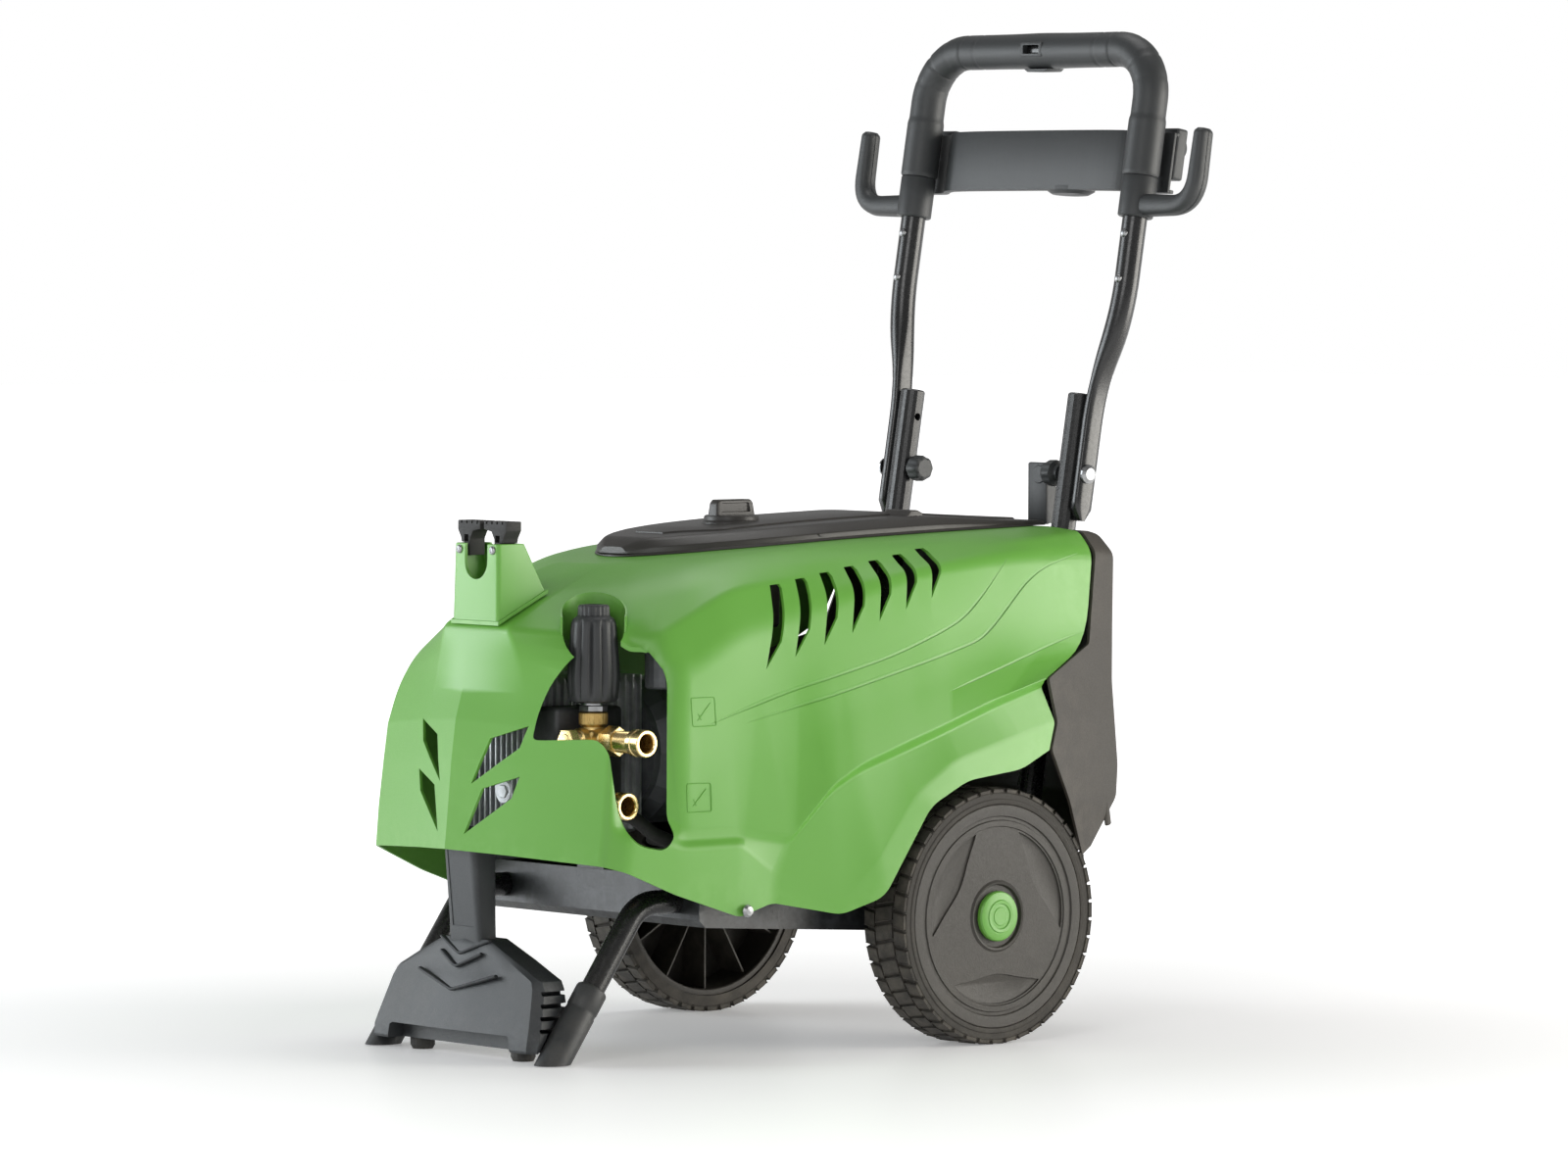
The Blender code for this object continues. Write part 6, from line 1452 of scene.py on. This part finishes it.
def build_stand_foot():
    """Spread base with a pointed front, sloping shoulders and a post with a bevelled front panel."""
    def ring(half, front, rear, z, peak, side_front):
        right = [Vector((0, front - peak, z)), Vector((half * 0.30, front - peak * 0.35, z)),
                 Vector((half * 0.62, front, z)), Vector((half - 0.008, front + side_front * 0.3, z)),
                 Vector((half, front + side_front, z)), Vector((half, rear - 0.004, z)),
                 Vector((half - 0.005, rear, z)), Vector((0, rear, z))]
        return right + [Vector((-p.x, p.y, p.z)) for p in reversed(right[1:-1])]
    f = FOOT_FRONT
    rows = [ring(0.1240, f + 0.0040, -0.440, 0.0112, 0.0015, 0.010),
            ring(0.1246, f + 0.0030, -0.438, 0.0135, 0.0015, 0.010),
            ring(0.1250, f + 0.0035, -0.437, 0.0240, 0.0020, 0.012),
            ring(0.1235, f + 0.0062, -0.437, 0.0330, 0.0035, 0.013),
            ring(0.1150, f + 0.0180, -0.436, 0.0700, 0.0080, 0.012),
            ring(0.1110, f + 0.0205, -0.436, 0.0775, 0.0085, 0.010),
            ring(0.1030, f + 0.0220, -0.437, 0.0815, 0.0080, 0.006),
            ring(0.0750, f + 0.0235, -0.438, 0.0945, 0.0060, 0.004),
            ring(0.0480, f + 0.0240, -0.440, 0.1065, 0.0040, 0.003),
            ring(0.0345, f + 0.0262, -0.441, 0.1125, 0.0020, 0.002)]
    foot = drape(rows, closed=True, ends=True)
    arch = pushed([(-0.097, -0.01), (-0.091, 0.0250), (-0.087, 0.0265), (0.087, 0.0265), (0.091, 0.0250),
                   (0.097, -0.01)], -0.60, -0.4715, "Y")
    side_cuts = []
    for sign in (-1, 1):
        for number in range(4):
            z = 0.030 + number * 0.0115
            x_low, x_high = sorted((sign * (0.1075 - number * 0.001), sign * 0.14))
            side_cuts.append(block((x_low, -0.476 + number * 0.003, z), (x_high, -0.40, z + 0.0042), 0.0008,
                                   1))
    tubes = []
    for sign in (-1, 1):
        low, away = stand_leg(sign)
        high = Vector((sign * STAND_X, -0.392, 0.116))
        tubes.append(sweep([low + away * 0.03, high], 0.0166, 0.0166, RIGHT, 28))
        tubes.append(rod(0.0042, 0, 0.021, 20, "Z", (sign * 0.0772, -0.4593, 0)))
    foot = carved(foot, [arch] + tubes + side_cuts)
    # nested pointed creases where the post meets the base
    chevrons = []
    for number, (half, z, y) in enumerate(((0.036, 0.098, -0.4715), (0.030, 0.086, -0.4765),
                                           (0.058, 0.064, -0.4815))):
        drop = (0.014, 0.013, 0.016)[number]
        line = rounded([Vector((-half, y + 0.004, z + drop)), Vector((0, y - 0.003, z)),
                        Vector((half, y + 0.004, z + drop))],
                       0.004, 4)
        chevrons.append(sweep(line, 0.0030, 0.0018, REARWARD, 10, domed=0.001))
    post_rows = []
    for z, front, half in ((0.072, -0.4665, 0.0275), (0.098, -0.4685, 0.0262), (0.1120, -0.4700, 0.0246),
                           (0.1300, -0.4712, 0.0240), (0.2180, -0.4797, 0.0238)):
        post_rows.append(ring_at(Vector((0, (front - 0.448) / 2, z)), RIGHT, REARWARD, half,
                                 (-0.448 - front) / 2, 32, 7.0))
    post = drape(post_rows, closed=True, ends=True)
    panel = pushed([(-0.0165, 0.124), (0.0165, 0.124), (0.0170, 0.214), (-0.0170, 0.214)], -0.52, -0.49, "Y")
    for vert in panel.verts:
        deep = -0.4712 - (vert.co.z - 0.130) * 0.0966 + 0.0008
        if vert.co.y > -0.5:
            vert.co.y = deep
    foot = carved(foot, [post], "UNION")
    foot = carved(foot, [panel])
    bm = joined(foot, *chevrons)
    set_down("moulded_stand_foot", bm, FOOT_GREY, "body", ("stand_foot",), 28)


def stand_line(sign):
    """A stand tube's run: under the tray, its bend, and past the floor, where it is cut off."""
    x = sign * STAND_X
    low, away = stand_leg(sign)
    return Vector((x, -0.3154, 0.1485)), Vector((x, -0.362, 0.1485)), low + away * 0.02


def cut_level(bm, height):
    """Cut a shape off level at a height and close it."""
    bmesh.ops.bisect_plane(bm, geom=bm.verts[:] + bm.edges[:] + bm.faces[:], plane_co=(0, 0, height),
                           plane_no=(0, 0, -1), clear_outer=True)
    bmesh.ops.holes_fill(bm, edges=bm.edges, sides=0)


def build_stand_tube(side, sign):
    """A bent tube under the tray and the sleeve that it stands on."""
    start, corner, end = stand_line(sign)
    path = stretched(rounded([start, corner, end], 0.040, 14), 0.006)
    tube = sweep(path, 0.0117, 0.0117, RIGHT, 36)
    cut_level(tube, 0.004)
    set_down("bent_stand_tube_" + side, tube, GLOSS_PAINT, "body", ("stand_tube_" + side,), 35)
    up = (path[-2] - path[-1]).normalized()
    across, back = RIGHT, up.cross(RIGHT)
    rows = []
    for reach, radius in ((0.0, 0.0155), (0.078, 0.0155), (0.0795, 0.0149), (0.0825, 0.0149), (0.084, 0.0155),
                          (0.1030, 0.0155), (0.1050, 0.0149), (0.106, 0.0138), (0.106, 0.0121), (0.0, 0.0121),
                          (0.0, 0.0155)):
        rows.append(ring_at(path[-1] + up * reach, across, back, radius, radius, 36))
    sleeve = drape(rows, closed=True)
    cut_level(sleeve, 0.0008)
    set_down("ground_sleeve_" + side, sleeve, SOFT_BLACK, "body",
             ("stand_sleeve_" + side,), 35)


# ---------------------------------------------------------------- rear panel
REAR_FRONT = [(206, 146, 176), (226, 110, 232), (240, 73, 284), (238, 82, 311), (237, 71, 354),
              (201, 158, 384), (183, 183, 474), (165, 181, 494)]
REAR_CORNER = [(196, 168, 184), (194, 203, 230), (194, 205, 262), (190, 203, 318), (188, 202, 345),
               (183, 207, 400), (174, 217, 471), (163, 207, 490)]
REAR_MIDDLE = [186, 228, 229, 228, 228, 228, 228, 214]


def build_rear_panel():
    """The wrapped rear panel with louvres and its raised side blades."""
    rows = []
    for front, corner, middle in zip(REAR_FRONT, REAR_CORNER, REAR_MIDDLE):
        inner = (corner[0] - 28, (corner[1] + middle * 3) / 4 + 1, corner[2])
        rows.append([Vector(front) / 1000, Vector(corner) / 1000, Vector(inner) / 1000,
                     Vector((0, middle, corner[2])) / 1000])
    rows.append([Vector((162, 181, 494)) / 1000, Vector((160, 196, 493.5)) / 1000,
                 Vector((128, 190, 494.5)) / 1000,
                 Vector((0, 190, 495)) / 1000])
    across = [rounded(row, [0.005, 0.014], 6) for row in rows]
    fine = [rounded(list(line), [0.005, 0.004, 0.004, 0.004, 0.004, 0.006, 0.008],
                    4) for line in zip(*across)]
    solid = walled(both_halves(drape([list(row) for row in fine]), 1))
    tools = []
    for sign in (-1, 1):
        tools.append(leaned(rod(0.0135, -0.30, 0.2, 32), (sign * FRAME_TUBE_X, PIVOT_Y, PIVOT_Z)))
    tools.append(rod(0.0095, 0.17, 0.29, 28, "Y", (-0.08, 0, 0.235)))
    for number in range(9):
        z = 0.262 + number * 0.013
        tools.append(block((-0.060, 0.20, z), (0.060, 0.25, z + 0.0055), 0.0012, 2))
    solid = carved(solid, tools)
    blades = []
    for sign in (-1, 1):
        for lift, spread in ((0.0, 0.0), (-0.010, 0.016)):
            line = [Vector((sign * (0.2075 - spread * 0.3), 0.118 + spread, 0.372 + lift)),
                    Vector((sign * 0.2015, 0.146 + spread, 0.318 + lift)),
                    Vector((sign * 0.1985, 0.166 + spread * 0.8, 0.262 + lift)),
                    Vector((sign * 0.1955, 0.182 + spread * 0.5, 0.214 + lift))]
            path = stretched(rounded(line, 0.03, 6), 0.006)
            blades.append(sweep(path, lambda s: 0.0016 + 0.0022 * math.sin(math.pi * s), 0.0042, RIGHT, 10,
                                domed=0.002))
    bm = joined(solid, *blades)
    set_down("rear_cowl", bm, TEXTURED_BLACK, "body", ("rear_panel",), 30)


def build_hose_bracket():
    """A small ribbed bracket for a hose, beside the right frame tube."""
    x_low, x_high = 0.058, 0.086
    y, base = 0.2074, 0.4977
    plate = block((x_low, y - 0.002, base), (x_high, y + 0.004, base + 0.062), 0.0018, 2)
    parts = [plate]
    for number in range(3):
        x = mix(x_low + 0.001, x_high - 0.004, number / 2)
        parts.append(pushed([(y, base + 0.001), (y + 0.022, base + 0.001), (y + 0.019, base + 0.012),
                             (y + 0.007, base + 0.059), (y, base + 0.059)], x, x + 0.003, "X", 0.0006, 1))
    cap = turned([(0.0, -0.0030), (0.0085, -0.0030), (0.0095, -0.0020), (0.0095, 0.0060), (0, 0.0060)], 28,
                 "Y",
                 ((x_low + x_high) / 2 + 0.003, y, base + 0.050))
    parts.append(cap)
    set_down("ribbed_hose_bracket", joined(*parts), SOFT_BLACK, "body", ("hose_bracket",),
             30)


build_hood()
for side, sign in SIDES:
    build_tyre(side, sign)
    build_rim(side, sign)
    build_hub_cap(side, sign)
    build_hook(side, sign)
    build_clamp_knob(side, sign)
build_handle_tube()
build_grip()
build_band()
build_rivets()
build_top_panel()
build_switch_knob()
build_pressure_knob()
build_regulator()
build_nipple("outlet_coupling", "outlet_nipple", OUT_Z, REG_X + 0.0219, 0.185, 0.0175)
build_nipple("inlet_coupling", "inlet_nipple", IN_Z, REG_X - 0.0171, 0.158, 0.0150)
build_pump()
build_bypass_hose()
build_lance_holder()
build_clip()
build_stand_foot()
for side, sign in SIDES:
    build_stand_tube(side, sign)
build_rear_panel()
build_hose_bracket()


# ---------------------------------------------------------------- finishes of the pieces kept from the frame
KEPT = {
    "chassis_tray": CHASSIS_PAINT, "axle": STEEL, "stand_foot": FOOT_GREY, "stand_tube": GLOSS_PAINT,
    "stand_sleeve": SOFT_BLACK, "rubber_foot": DARK_RUBBER, "hood": GREEN, "hood_screw": STEEL,
    "rear_panel": TEXTURED_BLACK, "top_panel": PANEL_BLACK, "lance_holder": GREEN, "holder_clip": DARK_RUBBER,
    "holder_screw": STEEL, "frame_tube": GLOSS_PAINT, "motor_housing": MOTOR_GREY, "fan_cover": PANEL_BLACK,
    "pump_crankcase": CAST_ALUMINIUM, "pump_head": DARK_CASTING, "unloader_body": BRASS,
    "unloader_plug": TURNED_BRASS, "unloader_nut": STEEL, "outlet_nipple": TURNED_BRASS,
    "inlet_nipple": TURNED_BRASS, "capacitor": MOTOR_GREY, "switch_box": PANEL_BLACK,
    "cable_gland": PANEL_BLACK, "hose_bracket": SOFT_BLACK, "bypass_hose": DARK_RUBBER, "pivot_bolt": STEEL,
    "tyre": TYRE_RUBBER, "rim": WHEEL_PLASTIC, "hub_cap": GREEN, "motor_shaft": STEEL,
    "cooling_fan": PANEL_BLACK, "pressure_knob": SOFT_BLACK, "power_switch_knob": PANEL_BLACK,
    "handle_tube": GLOSS_PAINT, "handle_grip": SOFT_BLACK, "hook_sleeve": SOFT_BLACK,
    "band_plate": SOFT_BLACK, "band_clamp": SOFT_BLACK, "rivet": STEEL, "clamp_knob": SOFT_BLACK,
}
for label, node in nodes.items():
    if node.hide_render:
        continue
    family = max((key for key in KEPT if label.startswith(key)), key=len)
    node.data.materials.clear()
    node.data.materials.append(KEPT[family])


# ---------------------------------------------------------------- floor, light and camera
def pale_floor():
    """A plain pale floor that glows faintly far away, so that it meets the background without a line."""
    bm = bmesh.new()
    bmesh.ops.create_grid(bm, x_segments=2, y_segments=2, size=30.0)
    floor = linked("floor", as_mesh("floor", bm))
    paint = bpy.data.materials.new("pale_floor")
    paint.use_nodes = True
    tree = paint.node_tree
    shader = tree.nodes["Principled BSDF"]
    shader.inputs["Base Color"].default_value = (0.90, 0.90, 0.90, 1)
    shader.inputs["Roughness"].default_value = 0.38
    shader.inputs["Specular IOR Level"].default_value = 0.3
    shader.inputs["Emission Strength"].default_value = 1.0
    where = add_node(tree, "ShaderNodeTexCoord").outputs["Object"]
    far = add_node(tree, "ShaderNodeVectorMath", operation="LENGTH")
    tree.links.new(where, far.inputs[0])
    glow = remap(tree, far.outputs["Value"], 0.5, 2.6, 0.22, 1.0)
    tree.links.new(glow, shader.inputs["Emission Color"])
    floor.data.materials.append(paint)


def soft_box(name, place, target, size, power, colour=(1, 1, 1)):
    """A rectangular area light that faces a target."""
    light = bpy.data.lights.new(name, "AREA")
    light.shape = "RECTANGLE"
    light.size, light.size_y = size
    light.energy = power
    light.color = colour
    lamp = linked(name, light)
    lamp.location = place
    lamp.rotation_mode = "QUATERNION"
    lamp.rotation_quaternion = (Vector(target) - Vector(place)).to_track_quat("-Z", "Y")


def studio():
    """A pale room, white where the camera sees it, with a bright wall on each side."""
    world = bpy.data.worlds.new("studio")
    world.use_nodes = True
    bpy.context.scene.world = world
    tree = world.node_tree
    room = tree.nodes["Background"]
    seen = add_node(tree, "ShaderNodeLightPath").outputs["Is Camera Ray"]
    split = add_node(tree, "ShaderNodeSeparateXYZ")
    tree.links.new(add_node(tree, "ShaderNodeTexCoord").outputs["Generated"], split.inputs[0])
    shade = remap(tree, split.outputs["Z"], -0.1, 0.75, 0.62, 0.22)
    tree.links.new(arith(tree, "MAXIMUM", seen, shade), room.inputs["Strength"])
    room.inputs["Color"].default_value = (1, 1, 1, 1)
    warm, cool = (1.0, 0.97, 0.90), (0.90, 0.96, 1.0)
    soft_box("right_wall", (2.6, 2.6, 0.9), (0, 0.0, 0.35), (2.4, 2.0), 110, warm)
    soft_box("left_wall", (-2.7, -2.5, 0.9), (0, -0.2, 0.35), (2.2, 1.9), 84, cool)
    soft_box("front_wall", (2.2, -3.6, 2.2), (0, 0.0, 0.3), (2.0, 1.4), 36)
    soft_box("top_bank", (-0.4, 0.6, 3.2), (0, 0.0, 0.3), (1.6, 1.6), 26)
    scene = bpy.context.scene
    scene.view_settings.view_transform = "Standard"
    scene.view_settings.look = "None"


def camera():
    """A long lens low at the front right corner of the machine."""
    view = bpy.data.cameras.new("camera")
    view.sensor_width = 36.0
    view.lens = 181.1
    view.clip_end = 60.0
    holder = linked("camera", view)
    right = Vector((0.6535641, 0.7568605, 0.0040180))
    up = Vector((-0.0350471, 0.0249600, 0.9990739))
    ahead = Vector((-0.7560593, 0.6530996, -0.0428387))
    turn = Matrix((right, up, -ahead)).transposed().to_4x4()
    holder.matrix_world = Matrix.Translation((5.895189, -5.159605 + AXLE_Y, 0.771665)) @ turn
    bpy.context.scene.camera = holder


pale_floor()
studio()
camera()
